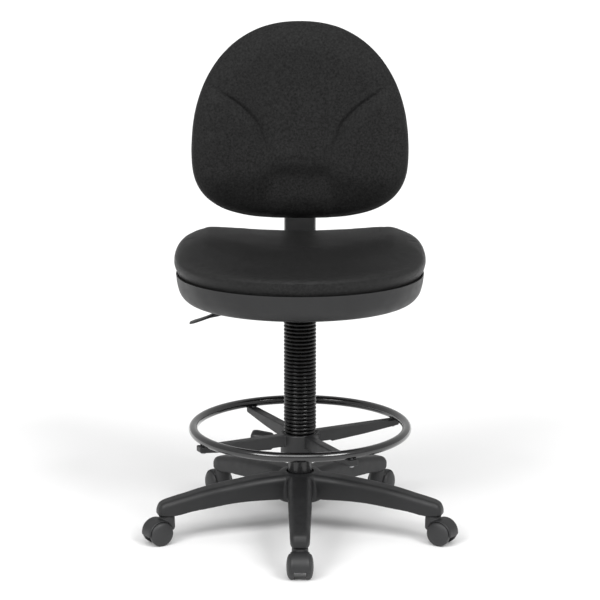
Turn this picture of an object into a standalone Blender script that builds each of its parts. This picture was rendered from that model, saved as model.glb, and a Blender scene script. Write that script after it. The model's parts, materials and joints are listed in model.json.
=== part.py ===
"""Drafting chair on a five-arm base with twin-wheel casters and a foot ring.

Metres, +Z up. The origin is on the floor under the column; the sitter faces -Y.
"""
import math

import bmesh
import bpy
from mathutils import Matrix, Vector

# Gaps between neighbours
GAP = 0.0003
RUN_GAP = 0.0005

# Base
STEM_CIRCLE = 0.287
ARM_ANGLES = (270, 342, 54, 126, 198)
HUB_RADIUS = 0.047
HUB_TOP = 0.126
HUB_BOTTOM = 0.068

# Gas lift
TUBE_RADIUS = 0.025
TUBE_WALL = 0.0016
TUBE_BOTTOM = 0.045
TUBE_TOP = 0.452
CYLINDER_RADIUS = 0.014
SLEEVE_BOTTOM = 0.165
SLEEVE_TOP = 0.4555
SLEEVE_CREST = 0.033
SLEEVE_VALLEY = 0.0308
RIB_PITCH = 0.0079

# Casters
WHEEL_RADIUS = 0.025
WHEEL_INNER = 0.0118
WHEEL_OUTER = 0.026
TRAIL = 0.021
CASTER_HEADINGS = (270, 328, 60, 120, 212)
STEM_RADIUS = 0.0055
AXLE_RADIUS = 0.003

# Foot ring
RING_RADIUS = 0.221
RING_TUBE = 0.0095
RING_Z = 0.2197
SPOKE_ANGLES = (27.5, 117.5, 207.5, 297.5)
SPOKE_TOP = 0.2098
SPOKE_WIDTH = 0.020
SPOKE_PROFILE = ((0.036, 0.1850), (0.068, 0.1850), (0.071, 0.1822), (0.150, 0.1880),
                 (0.231, 0.1965), (0.2325, 0.1985))
SPOKE_ROOT = 0.036
SPOKE_END = 0.2325
RING_HUB_RADIUS = 0.040
RING_HUB_TOP = 0.2098
RING_HUB_BOTTOM = 0.160
KNOB_ANGLE = 162
KNOB_Z = 0.188

# Seat
SEAT_HALF_WIDTH = 0.255
SEAT_FRONT = 0.246
SEAT_REAR = 0.232
SEAM_Z = 0.548
SHELL_BOTTOM = 0.489
SHELL_WALL = 0.003
BOARD_Z = 0.520
BOARD_THICKNESS = 0.012
MECH_BOTTOM = 0.462
BOLT_X = 0.0775
BOLT_Y = 0.070

# Back
BACK_HALF_WIDTH = 0.230
BACK_CENTRE_Z = 0.768
BACK_UP = 0.273
BACK_DOWN = 0.146
BACK_Y = 0.222
BAR_WIDTH = 0.050
BAR_THICKNESS = 0.006
BAR_Z = 0.4715
BAR_Y = 0.255
COVER_WIDTH = 0.068
BACK_KNOB_Z = 0.780
KNOB_REACH = 0.3368

COLLECTION_NAME = "Drafting chair"


def clear_scene():
    for obj in list(bpy.data.objects):
        bpy.data.objects.remove(obj, do_unlink=True)


def new_collection(name):
    collection = bpy.data.collections.new(name)
    bpy.context.scene.collection.children.link(collection)
    return collection


def material(name, colour, roughness, metallic=0.0):
    mat = bpy.data.materials.new(name)
    mat.use_nodes = True
    shader = mat.node_tree.nodes["Principled BSDF"]
    shader.inputs["Base Color"].default_value = (*colour, 1.0)
    shader.inputs["Roughness"].default_value = roughness
    shader.inputs["Metallic"].default_value = metallic
    return mat


def new_object(name, mesh, mat=None):
    obj = bpy.data.objects.new(name, mesh)
    PARTS.objects.link(obj)
    if mat:
        mesh.materials.append(mat)
    return obj


def from_bmesh(name, bm, mat=None, smooth=False):
    bmesh.ops.recalc_face_normals(bm, faces=bm.faces)
    mesh = bpy.data.meshes.new(name)
    bm.to_mesh(mesh)
    bm.free()
    if smooth:
        smooth_round(mesh)
    return new_object(name, mesh, mat)


def smooth_round(mesh):
    mesh.shade_smooth()
    mesh.set_sharp_from_angle(angle=math.radians(35))


def box(name, low, high, mat=None):
    """A box given by its two corners."""
    bm = bmesh.new()
    size = Vector(high) - Vector(low)
    centre = (Vector(high) + Vector(low)) / 2
    placing = Matrix.Translation(centre) @ Matrix.Diagonal((*size, 1.0))
    bmesh.ops.create_cube(bm, size=1.0, matrix=placing)
    return from_bmesh(name, bm, mat)


def cylinder(name, radius, start, end, segments=20, mat=None, end_radius=None):
    """A round bar, or a cone, between two points."""
    start = Vector(start)
    axis = Vector(end) - start
    turn = axis.to_track_quat("Z", "Y").to_matrix().to_4x4()
    placing = Matrix.Translation(start + axis / 2) @ turn
    bm = bmesh.new()
    bmesh.ops.create_cone(
        bm, cap_ends=True, segments=segments, radius1=radius,
        radius2=radius if end_radius is None else end_radius,
        depth=axis.length, matrix=placing)
    return from_bmesh(name, bm, mat, smooth=True)


def turned(name, profile, segments, mat=None, closed=False):
    """A profile of (radius, height) points, down the outer side, turned about Z."""
    bm = bmesh.new()
    verts = [bm.verts.new((radius, 0, height)) for radius, height in profile]
    pairs = list(zip(verts, verts[1:]))
    if closed:
        pairs.append((verts[-1], verts[0]))
    for first, second in pairs:
        bm.edges.new((first, second))
    mesh = bpy.data.meshes.new(name)
    bm.to_mesh(mesh)
    bm.free()
    obj = new_object(name, mesh, mat)
    screw = obj.modifiers.new("Turn", "SCREW")
    screw.steps = segments
    screw.render_steps = segments
    screw.use_merge_vertices = True
    screw.merge_threshold = 0.00001
    screw.use_smooth_shade = True
    return obj


def ring(name, inner, outer, bottom, top, segments=20, mat=None):
    """A plain tube or washer about Z."""
    profile = [(outer, top), (outer, bottom), (inner, bottom), (inner, top)]
    return turned(name, profile, segments, mat, closed=True)


def prism(name, outline, low, high, mat=None):
    """A flat outline in X and Y, extruded from one height to another."""
    bm = bmesh.new()
    face = bm.faces.new([bm.verts.new((x, y, low)) for x, y in outline])
    extruded = bmesh.ops.extrude_face_region(bm, geom=[face])
    top = [item for item in extruded["geom"] if isinstance(item, bmesh.types.BMVert)]
    bmesh.ops.translate(bm, verts=top, vec=(0, 0, high - low))
    return from_bmesh(name, bm, mat)


def loft(name, rings, mat=None, smooth=False, caps=True):
    """A skin over rings that have the same number of points."""
    bm = bmesh.new()
    rows = [[bm.verts.new(point) for point in points] for points in rings]
    count = len(rows[0])
    for lower, upper in zip(rows, rows[1:]):
        for i in range(count):
            j = (i + 1) % count
            bm.faces.new((lower[i], lower[j], upper[j], upper[i]))
    if caps:
        bm.faces.new(list(reversed(rows[0])))
    bm.faces.new(rows[-1])
    return from_bmesh(name, bm, mat, smooth)


def boolean(target, operand, operation):
    """Cuts or joins the operand, which moves with its target and isn't built."""
    PARTS.objects.unlink(operand)
    TOOLS.objects.link(operand)
    operand.hide_render = True
    operand.display_type = "WIRE"
    operand.parent = target
    modifier = target.modifiers.new(operand.name, "BOOLEAN")
    modifier.operation = operation
    modifier.object = operand
    modifier.solver = "EXACT"


def cut(target, *operands):
    for operand in operands:
        boolean(target, operand, "DIFFERENCE")


def join(target, *operands):
    for operand in operands:
        boolean(target, operand, "UNION")


def finished_mesh(obj):
    """The object's mesh with its modifiers applied; the object is removed."""
    depsgraph = bpy.context.evaluated_depsgraph_get()
    mesh = bpy.data.meshes.new_from_object(obj.evaluated_get(depsgraph))
    for child in list(obj.children):
        bpy.data.objects.remove(child, do_unlink=True)
    bpy.data.objects.remove(obj, do_unlink=True)
    return mesh


def empty(name, location, heading=0.0):
    """A joint's frame; heading turns its -Y side to face that way."""
    obj = bpy.data.objects.new(name, None)
    obj.location = location
    obj.rotation_euler = (0, 0, heading)
    PARTS.objects.link(obj)
    return obj


def polar(radius, degrees, z=0.0):
    angle = math.radians(degrees)
    return Vector((radius * math.cos(angle), radius * math.sin(angle), z))


def lerp_table(table, x):
    """Straight-line reading of a table of (x, value) pairs."""
    for (x0, v0), (x1, v1) in zip(table, table[1:]):
        if x <= x1:
            return v0 + (v1 - v0) * (x - x0) / (x1 - x0)
    return table[-1][1]


def superellipse(half_width, up, down, power_up, power_down, count, inset=0.0):
    """An egg-shaped outline about its widest point, anticlockwise from +X."""
    points = []
    for i in range(count):
        angle = 2 * math.pi * i / count
        across = math.cos(angle)
        along = math.sin(angle)
        reach = up if along >= 0 else down
        power = power_up if along >= 0 else power_down
        x = math.copysign(abs(across) ** (2 / power), across) * (half_width - inset)
        y = math.copysign(abs(along) ** (2 / power), along) * (reach - inset)
        points.append((x, y))
    return points


# ---------------------------------------------------------------- base

ARM_TOP = ((0.0, 0.1255), (0.080, 0.1225), (0.158, 0.1140), (0.223, 0.1035), (0.245, 0.0985),
           (0.280, 0.0910), (0.295, 0.0865), (0.302, 0.0810), (0.307, 0.0740))
ARM_BOTTOM = ((0.0, 0.072), (0.073, 0.0742), (0.116, 0.0752), (0.159, 0.0735), (0.200, 0.0690),
              (0.245, 0.0635), (0.262, 0.0596), (0.307, 0.0593))
ARM_HALF_WIDTH = ((0.0, 0.027), (0.06, 0.026), (0.175, 0.024), (0.27, 0.0208), (0.29, 0.0200),
                  (0.300, 0.0175), (0.307, 0.0115))
ARM_STATIONS = (0.02, 0.07, 0.116, 0.158, 0.20, 0.245, 0.262, 0.280, 0.295, 0.302, 0.307)
ARM_SHOULDER = 0.008
ARM_FLAT_SHARE = 0.62
ARM_SOLE_SHARE = 0.9
HUB_PROFILE = ((0, HUB_TOP), (0.040, HUB_TOP), (HUB_RADIUS, HUB_TOP - 0.006), (0.050, 0.095),
               (0.048, HUB_BOTTOM), (0, HUB_BOTTOM))
HUB_RECESS_RADIUS = 0.0285
HUB_RECESS_DEPTH = 0.004
SOCKET_BOTTOM = 0.050
SOCKET_TOP = 0.080
SOCKET_GAP = 0.0006


def arm_ring(distance):
    """The arm's section: flat top, sloping shoulders, upright sides."""
    top = lerp_table(ARM_TOP, distance)
    bottom = lerp_table(ARM_BOTTOM, distance)
    half = lerp_table(ARM_HALF_WIDTH, distance)
    shoulder = min(ARM_SHOULDER, (top - bottom) / 3)
    flat = half * ARM_FLAT_SHARE
    sole = half * ARM_SOLE_SHARE
    return [(distance, y, z) for y, z in (
        (-sole, bottom), (sole, bottom), (half, bottom + shoulder / 2), (half, top - shoulder),
        (flat, top), (-flat, top), (-half, top - shoulder), (-half, bottom + shoulder / 2))]


def build_base():
    mat = material("base_nylon", (0.045, 0.046, 0.048), 0.45)
    base = turned("base_star", HUB_PROFILE, 30, mat)
    arm = loft("arm", [arm_ring(distance) for distance in ARM_STATIONS])
    arm_mesh = finished_mesh(arm)
    for number, angle in enumerate(ARM_ANGLES):
        copy = new_object(f"arm_{number}", arm_mesh)
        copy.rotation_euler = (0, 0, math.radians(angle))
        join(base, copy)
    above = HUB_TOP + ARM_SHOULDER
    cut(base, cylinder("tube_bore", TUBE_RADIUS + RUN_GAP, (0, 0, 0), (0, 0, above), 24))
    cut(base, cylinder("tube_recess", HUB_RECESS_RADIUS, (0, 0, HUB_TOP - HUB_RECESS_DEPTH),
                       (0, 0, above), 24))
    for number, angle in enumerate(ARM_ANGLES):
        low = polar(STEM_CIRCLE, angle, SOCKET_BOTTOM)
        high = polar(STEM_CIRCLE, angle, SOCKET_TOP)
        cut(base, cylinder(f"stem_socket_{number}", STEM_RADIUS + SOCKET_GAP, low, high, 12))


# ---------------------------------------------------------------- gas lift

TUBE_FLOOR_HOLE = 0.006
TUBE_FLOOR = 0.003
SLEEVE_FIT = 0.0012
BUSH_BOTTOM = 0.385
BUSH_FLANGE_RADIUS = 0.0248
BUSH_FLANGE = 0.0025
BEARING_INNER = 0.0058
BEARING_OUTER = 0.012
BEARING_HEIGHT = 0.004
CLIP_INNER = 0.0044
CLIP_OUTER = 0.0090
CLIP_BOTTOM = 0.0428
CLIP_TOP = 0.0442
CLIP_SLOT_HALF = 0.0015
ROD_RADIUS = 0.005
ROD_NECK_RADIUS = 0.004
ROD_BOTTOM = 0.0400
PISTON_RADIUS = 0.0119
PISTON_TOP = 0.365
PISTON_BOTTOM = 0.352
COLLAR_RADIUS = 0.0095
COLLAR_HEIGHT = 0.004
CYLINDER_PROFILE = ((0.0128, 0.4985), (CYLINDER_RADIUS, 0.4560), (CYLINDER_RADIUS, 0.0700),
                    (0.0055, 0.0700), (0.0055, 0.0750), (0.0125, 0.0750), (0.0125, 0.4450),
                    (0.0034, 0.4500), (0.0034, 0.4985))
PIN_RADIUS = 0.0029
PIN_BOTTOM = 0.4430
PIN_TOP = 0.5030


def build_gas_lift():
    steel = material("tube_steel", (0.02, 0.02, 0.021), 0.3, 0.4)
    inner = TUBE_RADIUS - TUBE_WALL
    floor_top = TUBE_BOTTOM + TUBE_FLOOR
    turned("gas_outer_tube", [
        (TUBE_RADIUS, TUBE_TOP), (TUBE_RADIUS, TUBE_BOTTOM), (TUBE_FLOOR_HOLE, TUBE_BOTTOM),
        (TUBE_FLOOR_HOLE, floor_top), (inner, floor_top), (inner, TUBE_TOP)], 24, steel, closed=True)

    plastic = material("sleeve_plastic", (0.012, 0.012, 0.013), 0.25)
    sleeve_inner = TUBE_RADIUS + SLEEVE_FIT
    ribs = int((SLEEVE_TOP - SLEEVE_BOTTOM) / RIB_PITCH)
    profile = []
    for number in range(ribs):
        height = SLEEVE_TOP - number * RIB_PITCH
        profile.append((SLEEVE_VALLEY, height))
        profile.append((SLEEVE_CREST, height - 0.5 * RIB_PITCH))
    profile += [(SLEEVE_VALLEY, SLEEVE_TOP - ribs * RIB_PITCH), (SLEEVE_VALLEY, SLEEVE_BOTTOM),
                (sleeve_inner, SLEEVE_BOTTOM), (sleeve_inner, SLEEVE_TOP)]
    turned("column_sleeve", profile, 14, plastic, closed=True)

    acetal = material("bush_acetal", (0.55, 0.54, 0.50), 0.5)
    bore = CYLINDER_RADIUS + RUN_GAP
    body = inner - GAP
    seat = TUBE_TOP + GAP
    turned("guide_bush", [
        (BUSH_FLANGE_RADIUS, seat + BUSH_FLANGE), (BUSH_FLANGE_RADIUS, seat), (body, seat),
        (body, BUSH_BOTTOM), (bore, BUSH_BOTTOM), (bore, seat + BUSH_FLANGE)], 24, acetal, closed=True)

    bright = material("bearing_steel", (0.55, 0.55, 0.56), 0.25, 1.0)
    bearing_low = floor_top + GAP
    bearing_high = bearing_low + BEARING_HEIGHT
    ring("thrust_bearing", BEARING_INNER, BEARING_OUTER, bearing_low, bearing_high, 16, bright)

    clip_steel = material("clip_steel", (0.30, 0.30, 0.31), 0.35, 1.0)
    clip = ring("retaining_clip", CLIP_INNER, CLIP_OUTER, CLIP_BOTTOM, CLIP_TOP, 16, clip_steel)
    cut(clip, box("clip_slot", (0, -CLIP_SLOT_HALF, ROD_BOTTOM), (BEARING_OUTER, CLIP_SLOT_HALF, floor_top)))

    rod_steel = material("rod_steel", (0.6, 0.6, 0.61), 0.15, 1.0)
    collar_low = bearing_high + GAP
    collar_high = collar_low + COLLAR_HEIGHT
    neck_low = CLIP_BOTTOM - CLIP_INNER + ROD_NECK_RADIUS
    neck_high = CLIP_TOP + CLIP_INNER - ROD_NECK_RADIUS
    turned("piston_rod", [
        (0, PISTON_TOP), (PISTON_RADIUS, PISTON_TOP), (PISTON_RADIUS, PISTON_BOTTOM),
        (ROD_RADIUS, PISTON_BOTTOM), (ROD_RADIUS, collar_high), (COLLAR_RADIUS, collar_high),
        (COLLAR_RADIUS, collar_low), (ROD_RADIUS, collar_low), (ROD_RADIUS, neck_high),
        (ROD_NECK_RADIUS, neck_high), (ROD_NECK_RADIUS, neck_low), (ROD_RADIUS, neck_low),
        (ROD_RADIUS, ROD_BOTTOM), (0, ROD_BOTTOM)], 12, rod_steel)

    chrome = material("cylinder_steel", (0.05, 0.05, 0.052), 0.2, 0.8)
    turned("gas_cylinder", CYLINDER_PROFILE, 16, chrome, closed=True)

    pin_steel = material("pin_steel", (0.6, 0.6, 0.6), 0.2, 1.0)
    cylinder("release_pin", PIN_RADIUS, (0, 0, PIN_BOTTOM), (0, 0, PIN_TOP), 12, pin_steel)


# ---------------------------------------------------------------- casters

HOOD_HALF = 0.0190
HOOD_OUTER = WHEEL_RADIUS + 0.0038
WHEEL_ROOM = WHEEL_RADIUS + 0.0016
FENDER_START = 62
FENDER_END = 186
WEB_FOOT = ((-0.011, -0.0105), (0.0, -0.0115), (0.010, -0.008))
WEB_HALF = WHEEL_INNER - 0.0006
NECK_RADIUS = 0.0165
NECK_BOTTOM = 0.0300
NECK_TOP = 0.0575
STEM_TOP = 0.0795
STEM_BOTTOM = 0.0325
STEM_CHAMFER = 0.0008
AXLE_HALF = 0.0218
WHEEL_SIDES = 18
WHEEL_CAP = 0.0035


def arc_points(radius, start, end, count):
    """Points (y, z) on a circle about the axle; degrees from +Y towards +Z."""
    points = []
    for i in range(count + 1):
        angle = math.radians(start + (end - start) * i / count)
        points.append((radius * math.cos(angle), radius * math.sin(angle)))
    return points


def side_prism(name, outline, half_width):
    """An outline in Y and Z, centred across X."""
    obj = prism(name, outline, -half_width, half_width)
    turn = Matrix(((0, 0, 1, 0), (1, 0, 0, 0), (0, 1, 0, 0), (0, 0, 0, 1)))
    obj.data.transform(turn)
    return obj


def hood_mesh():
    """Fender, centre web and round neck in one moulding, cut clear of both wheels; the stem is at x=y=0."""
    fender = arc_points(HOOD_OUTER, FENDER_START, FENDER_END, 8)
    fender += arc_points(WHEEL_RADIUS, FENDER_END, FENDER_START, 8)
    shift = Vector((0, -TRAIL, WHEEL_RADIUS))
    web = arc_points(HOOD_OUTER - GAP, FENDER_START, FENDER_END, 6) + list(WEB_FOOT)
    hood = side_prism("hood", web, WEB_HALF)
    hood.data.transform(Matrix.Translation(shift))
    cover = side_prism("fender", fender, HOOD_HALF)
    cover.data.transform(Matrix.Translation(shift))
    neck = cylinder("neck", NECK_RADIUS, (0, 0, NECK_BOTTOM), (0, 0, NECK_TOP), 20)
    join(hood, cover, neck)
    for sign in (-1, 1):
        start = shift + Vector((sign * WEB_HALF, 0, 0))
        end = shift + Vector((sign * WHEEL_OUTER, 0, 0))
        cut(hood, cylinder("wheel_room", WHEEL_ROOM, start, end, 24))
    cut(hood, cylinder("stem_bore", STEM_RADIUS + RUN_GAP, (0, 0, STEM_BOTTOM - RUN_GAP), (0, 0, STEM_TOP), 12))
    bore_reach = Vector((HOOD_HALF, 0, 0))
    cut(hood, cylinder("axle_bore", AXLE_RADIUS + GAP, shift - bore_reach, shift + bore_reach, 12))
    return finished_mesh(hood)


def wheel_mesh():
    """Turned about its own Z from the inner face at z = 0; the flats sit on the floor."""
    radius = WHEEL_RADIUS / math.cos(math.pi / WHEEL_SIDES)
    width = WHEEL_OUTER - WHEEL_INNER
    bore = AXLE_RADIUS + RUN_GAP
    wheel = turned("wheel", [
        (0, width), (0.0140, width - 0.0010), (0.0215, width - 0.0030), (radius, width - 0.0060),
        (radius, 0), (bore, 0), (bore, width - WHEEL_CAP), (0, width - WHEEL_CAP)], WHEEL_SIDES)
    mesh = finished_mesh(wheel)
    mesh.transform(Matrix.Rotation(math.pi / WHEEL_SIDES, 4, "Z"))
    smooth_round(mesh)
    return mesh


def build_casters():
    hood_shape = hood_mesh()
    wheel_shape = wheel_mesh()
    hood_shape.materials.clear()
    wheel_shape.materials.clear()
    hood_shape.materials.append(material("hood_nylon", (0.05, 0.051, 0.053), 0.5))
    wheel_shape.materials.append(material("wheel_nylon", (0.06, 0.061, 0.063), 0.5))
    steel = material("stem_steel", (0.5, 0.5, 0.51), 0.3, 1.0)
    for number, (angle, heading) in enumerate(zip(ARM_ANGLES, CASTER_HEADINGS), start=1):
        turn = math.radians(heading + 90)
        pivot = empty(f"caster_{number}_pivot", polar(STEM_CIRCLE, angle), turn)
        hood = new_object(f"caster_{number}_hood", hood_shape)
        hood.parent = pivot
        stem = turned(f"caster_{number}_stem", [
            (0, STEM_TOP), (STEM_RADIUS - STEM_CHAMFER, STEM_TOP), (STEM_RADIUS, STEM_TOP - 2 * STEM_CHAMFER),
            (STEM_RADIUS, STEM_BOTTOM), (0, STEM_BOTTOM)], 12, steel)
        stem.location = polar(STEM_CIRCLE, angle)
        axle = cylinder(f"caster_{number}_axle", AXLE_RADIUS, (-AXLE_HALF, 0, 0), (AXLE_HALF, 0, 0), 12, steel)
        axle.parent = pivot
        axle.location = (0, -TRAIL, WHEEL_RADIUS)
        for side, sign in (("left", -1), ("right", 1)):
            wheel = new_object(f"caster_{number}_wheel_{side}", wheel_shape)
            wheel.parent = pivot
            wheel.location = (sign * WHEEL_INNER, -TRAIL, WHEEL_RADIUS)
            wheel.rotation_euler = (0, sign * math.pi / 2, 0)


# ---------------------------------------------------------------- foot ring

HUB_WALL_INNER = 0.0371
KNOB_PROFILE = ((0, 0.105), (0.0145, 0.105), (0.0170, 0.102), (0.0168, 0.089), (0.0150, 0.074),
                (0.0136, 0.0615), (0.0085, 0.0600), (0.0080, 0.0445), (0.0035, 0.0445),
                (0.0035, 0.0372), (0, 0.0372))
BOSS_RADIUS = 0.0075
BOSS_START = 0.0375
BOSS_END = 0.0442
KNOB_HOLE = 0.0040
BUSH_BORE_GAP = 0.0017
FOOTRING_BUSH_OUTER = 0.0365
RING_BOLT_PROFILE = ((0, 0.2160), (0.0030, 0.2160), (0.0030, 0.1949), (0.0060, 0.1949),
                     (0.0060, 0.1915), (0.0045, 0.1905), (0, 0.1905))
BOLT_HOLE = 0.0034
BOLT_SEAT = 0.0066
BOLT_SEAT_TOP = 0.1952
BOLT_HOLE_TOP = 0.2165


def spoke(name, angle):
    """A moulded spoke, deep at the hub, with a step under its root."""
    side = [(SPOKE_ROOT, SPOKE_TOP), *SPOKE_PROFILE, (SPOKE_END, SPOKE_TOP)]
    obj = side_prism(name, side, SPOKE_WIDTH / 2)
    obj.rotation_euler = (0, 0, math.radians(angle - 90))
    return obj


def build_foot_ring():
    bush_mat = material("footring_bush_plastic", (0.03, 0.03, 0.031), 0.45)
    ring("footring_bush", SLEEVE_CREST + BUSH_BORE_GAP, FOOTRING_BUSH_OUTER, RING_HUB_BOTTOM + 0.002,
         RING_HUB_TOP - 0.001, 24, bush_mat)

    hub_mat = material("footring_hub_plastic", (0.05, 0.051, 0.053), 0.45)
    hub = turned("footring_hub", [
        (HUB_WALL_INNER + GAP, RING_HUB_TOP), (RING_HUB_RADIUS, RING_HUB_TOP - 0.003),
        (RING_HUB_RADIUS, RING_HUB_BOTTOM + 0.002), (RING_HUB_RADIUS - 0.0015, RING_HUB_BOTTOM),
        (HUB_WALL_INNER, RING_HUB_BOTTOM), (HUB_WALL_INNER, RING_HUB_TOP)], 32, hub_mat, closed=True)
    for number, angle in enumerate(SPOKE_ANGLES):
        join(hub, spoke(f"spoke_{number}", angle))
    boss = cylinder("knob_boss", BOSS_RADIUS, polar(BOSS_START, KNOB_ANGLE, KNOB_Z),
                    polar(BOSS_END, KNOB_ANGLE, KNOB_Z), 16)
    join(hub, boss)
    cut(hub, cylinder("hub_bore", HUB_WALL_INNER, (0, 0, HUB_TOP), (0, 0, RING_Z), 32))
    cut(hub, cylinder("knob_hole", KNOB_HOLE, polar(TUBE_RADIUS, KNOB_ANGLE, KNOB_Z),
                      polar(BOSS_END + BOSS_RADIUS, KNOB_ANGLE, KNOB_Z), 12))

    ring_mat = material("footring_steel", (0.02, 0.02, 0.021), 0.2, 0.5)
    bpy.ops.mesh.primitive_torus_add(
        major_radius=RING_RADIUS, minor_radius=RING_TUBE, major_segments=36, minor_segments=8,
        location=(0, 0, 0))
    tube = bpy.context.active_object
    tube.name = "footring_tube"
    tube.data.transform(Matrix.Translation((0, 0, RING_Z)))
    tube.data.materials.append(ring_mat)
    smooth_round(tube.data)
    for collection in list(tube.users_collection):
        collection.objects.unlink(tube)
    PARTS.objects.link(tube)

    bolt_mat = material("footring_bolt_steel", (0.35, 0.35, 0.36), 0.3, 1.0)
    for number, angle in enumerate(SPOKE_ANGLES, start=1):
        spot = polar(RING_RADIUS, angle)
        bolt = turned(f"footring_bolt_{number}", RING_BOLT_PROFILE, 8, bolt_mat)
        bolt.location = spot
        below = spot + Vector((0, 0, HUB_TOP))
        hole_top = spot + Vector((0, 0, BOLT_HOLE_TOP))
        seat_end = spot + Vector((0, 0, BOLT_SEAT_TOP))
        cut(hub, cylinder(f"bolt_hole_{number}", BOLT_HOLE, below, hole_top, 12))
        cut(hub, cylinder(f"bolt_seat_{number}", BOLT_SEAT, below, seat_end, 12))
        cut(tube, cylinder(f"ring_hole_{number}", BOLT_HOLE, below, hole_top, 12))

    knob_mat = material("footring_knob_plastic", (0.025, 0.025, 0.026), 0.4)
    knob = turned("footring_knob", KNOB_PROFILE, 20, knob_mat)
    knob.location = (0, 0, KNOB_Z)
    knob.rotation_euler = (0, math.pi / 2, math.radians(KNOB_ANGLE))


# ---------------------------------------------------------------- seat

SEAT_POWER_REAR = 2.5
SEAT_POWER_FRONT = 2.05
EDGE_RUN = 0.060
EDGE_POWER = 2.4
EDGE_RISE = 0.009
CROWN = 0.050
BOLSTER = 0.016
BOLSTER_HALF = 0.18
NOSE_START = 0.05
NOSE_RUN = 0.20
NOSE_FALL = 0.008
SHELL_LEVELS = ((0.0, SEAM_Z), (0.003, 0.530), (0.012, 0.510), (0.028, 0.4955), (0.050, SHELL_BOTTOM))
SHELL_OPENINGS = (((-0.105, -0.095, 0.47), (0.105, 0.115, 0.51)), ((-0.036, 0.10, 0.47), (0.036, 0.1505, 0.51)),
                  ((-0.134, -0.012, 0.47), (-0.10, 0.012, 0.51)))
BOARD_INSET = 0.030
CUSHION_RIM = SHELL_WALL + 0.0015
CUSHION_TAPER = 0.006
CUSHION_LIP = 0.001
CUSHION_LIP_Z = SEAM_Z + 0.0015
CUSHION_INSETS = (-0.001, 0.001, 0.006, 0.015, 0.030, 0.060, 0.110, 0.170)
PLATE_TOP = BOARD_Z - GAP
PLATE = 0.003
PLATE_HALF_WIDTH = 0.100
PLATE_HALF_DEPTH = 0.090
HOUSING = ((-0.034, -0.0525, MECH_BOTTOM), (0.034, 0.150, PLATE_TOP - 0.001))
CAVITY = ((-0.0315, -0.050, MECH_BOTTOM + PLATE), (0.0315, 0.170, PLATE_TOP - 0.0025))
BAR_GUIDE = ((-0.0325, 0.060, 0.4785), (0.0325, 0.148, 0.4815))
LEVER_SLOT = ((-0.040, -0.0070, 0.4940), (-0.025, 0.0070, 0.5155))
PIN_WINDOW = ((-0.024, -0.020, 0.5100), (0.024, 0.030, 0.5300))
TAPER_BOSS_RADIUS = 0.0190
TAPER_BOSS_TOP = 0.4900
TAPER_BORE_BOTTOM = 0.450
TAPER_BORE_TOP = 0.505
STUD_HOLE = 0.0044
DEPTH_KNOB_Y = 0.125
SEAT_BOLT_SHANK = 0.0030
SEAT_BOLT_REACH = 0.009
SEAT_BOLT_HEAD = 0.0062
SEAT_BOLT_HEAD_DEPTH = 0.0045
ROD_PATH = ((0.004, 0, 0.5073), (-0.030, 0, 0.5055), (-0.060, 0, 0.5000), (-0.105, 0, 0.4815),
            (-0.132, 0, 0.4725), (-0.170, 0, 0.4610))
LEVER_ROD_RADIUS = 0.0036
HANDLE_SECTIONS = ((-0.142, 0.4705, 0.0066, 0.0070), (-0.165, 0.4630, 0.0082, 0.0070),
                   (-0.180, 0.4575, 0.0110, 0.0036), (-0.205, 0.4485, 0.0140, 0.0024),
                   (-0.220, 0.4435, 0.0145, 0.0022), (-0.2255, 0.4420, 0.0110, 0.0018))
HANDLE_SIDES = 12
HANDLE_BORE = 0.0042
HANDLE_GRIP = 0.045


def seat_outline(inset, count=28):
    return superellipse(SEAT_HALF_WIDTH, SEAT_REAR, SEAT_FRONT, SEAT_POWER_REAR, SEAT_POWER_FRONT,
                        count, inset)


def seat_top(x, y, inset):
    """Height of the cushion's upper face: dished, with side bolsters and a low front edge."""
    edge = min(max(inset, 0.0) / EDGE_RUN, 1.0)
    rise = (1 - (1 - edge) ** EDGE_POWER) ** (1 / EDGE_POWER)
    side = min(abs(x) / BOLSTER_HALF, 1.0) ** 2
    nose = max(-y - NOSE_START, 0.0) / NOSE_RUN
    crown = CROWN + BOLSTER * side - NOSE_FALL * nose
    return SEAM_Z + EDGE_RISE + (crown - EDGE_RISE) * rise


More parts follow.
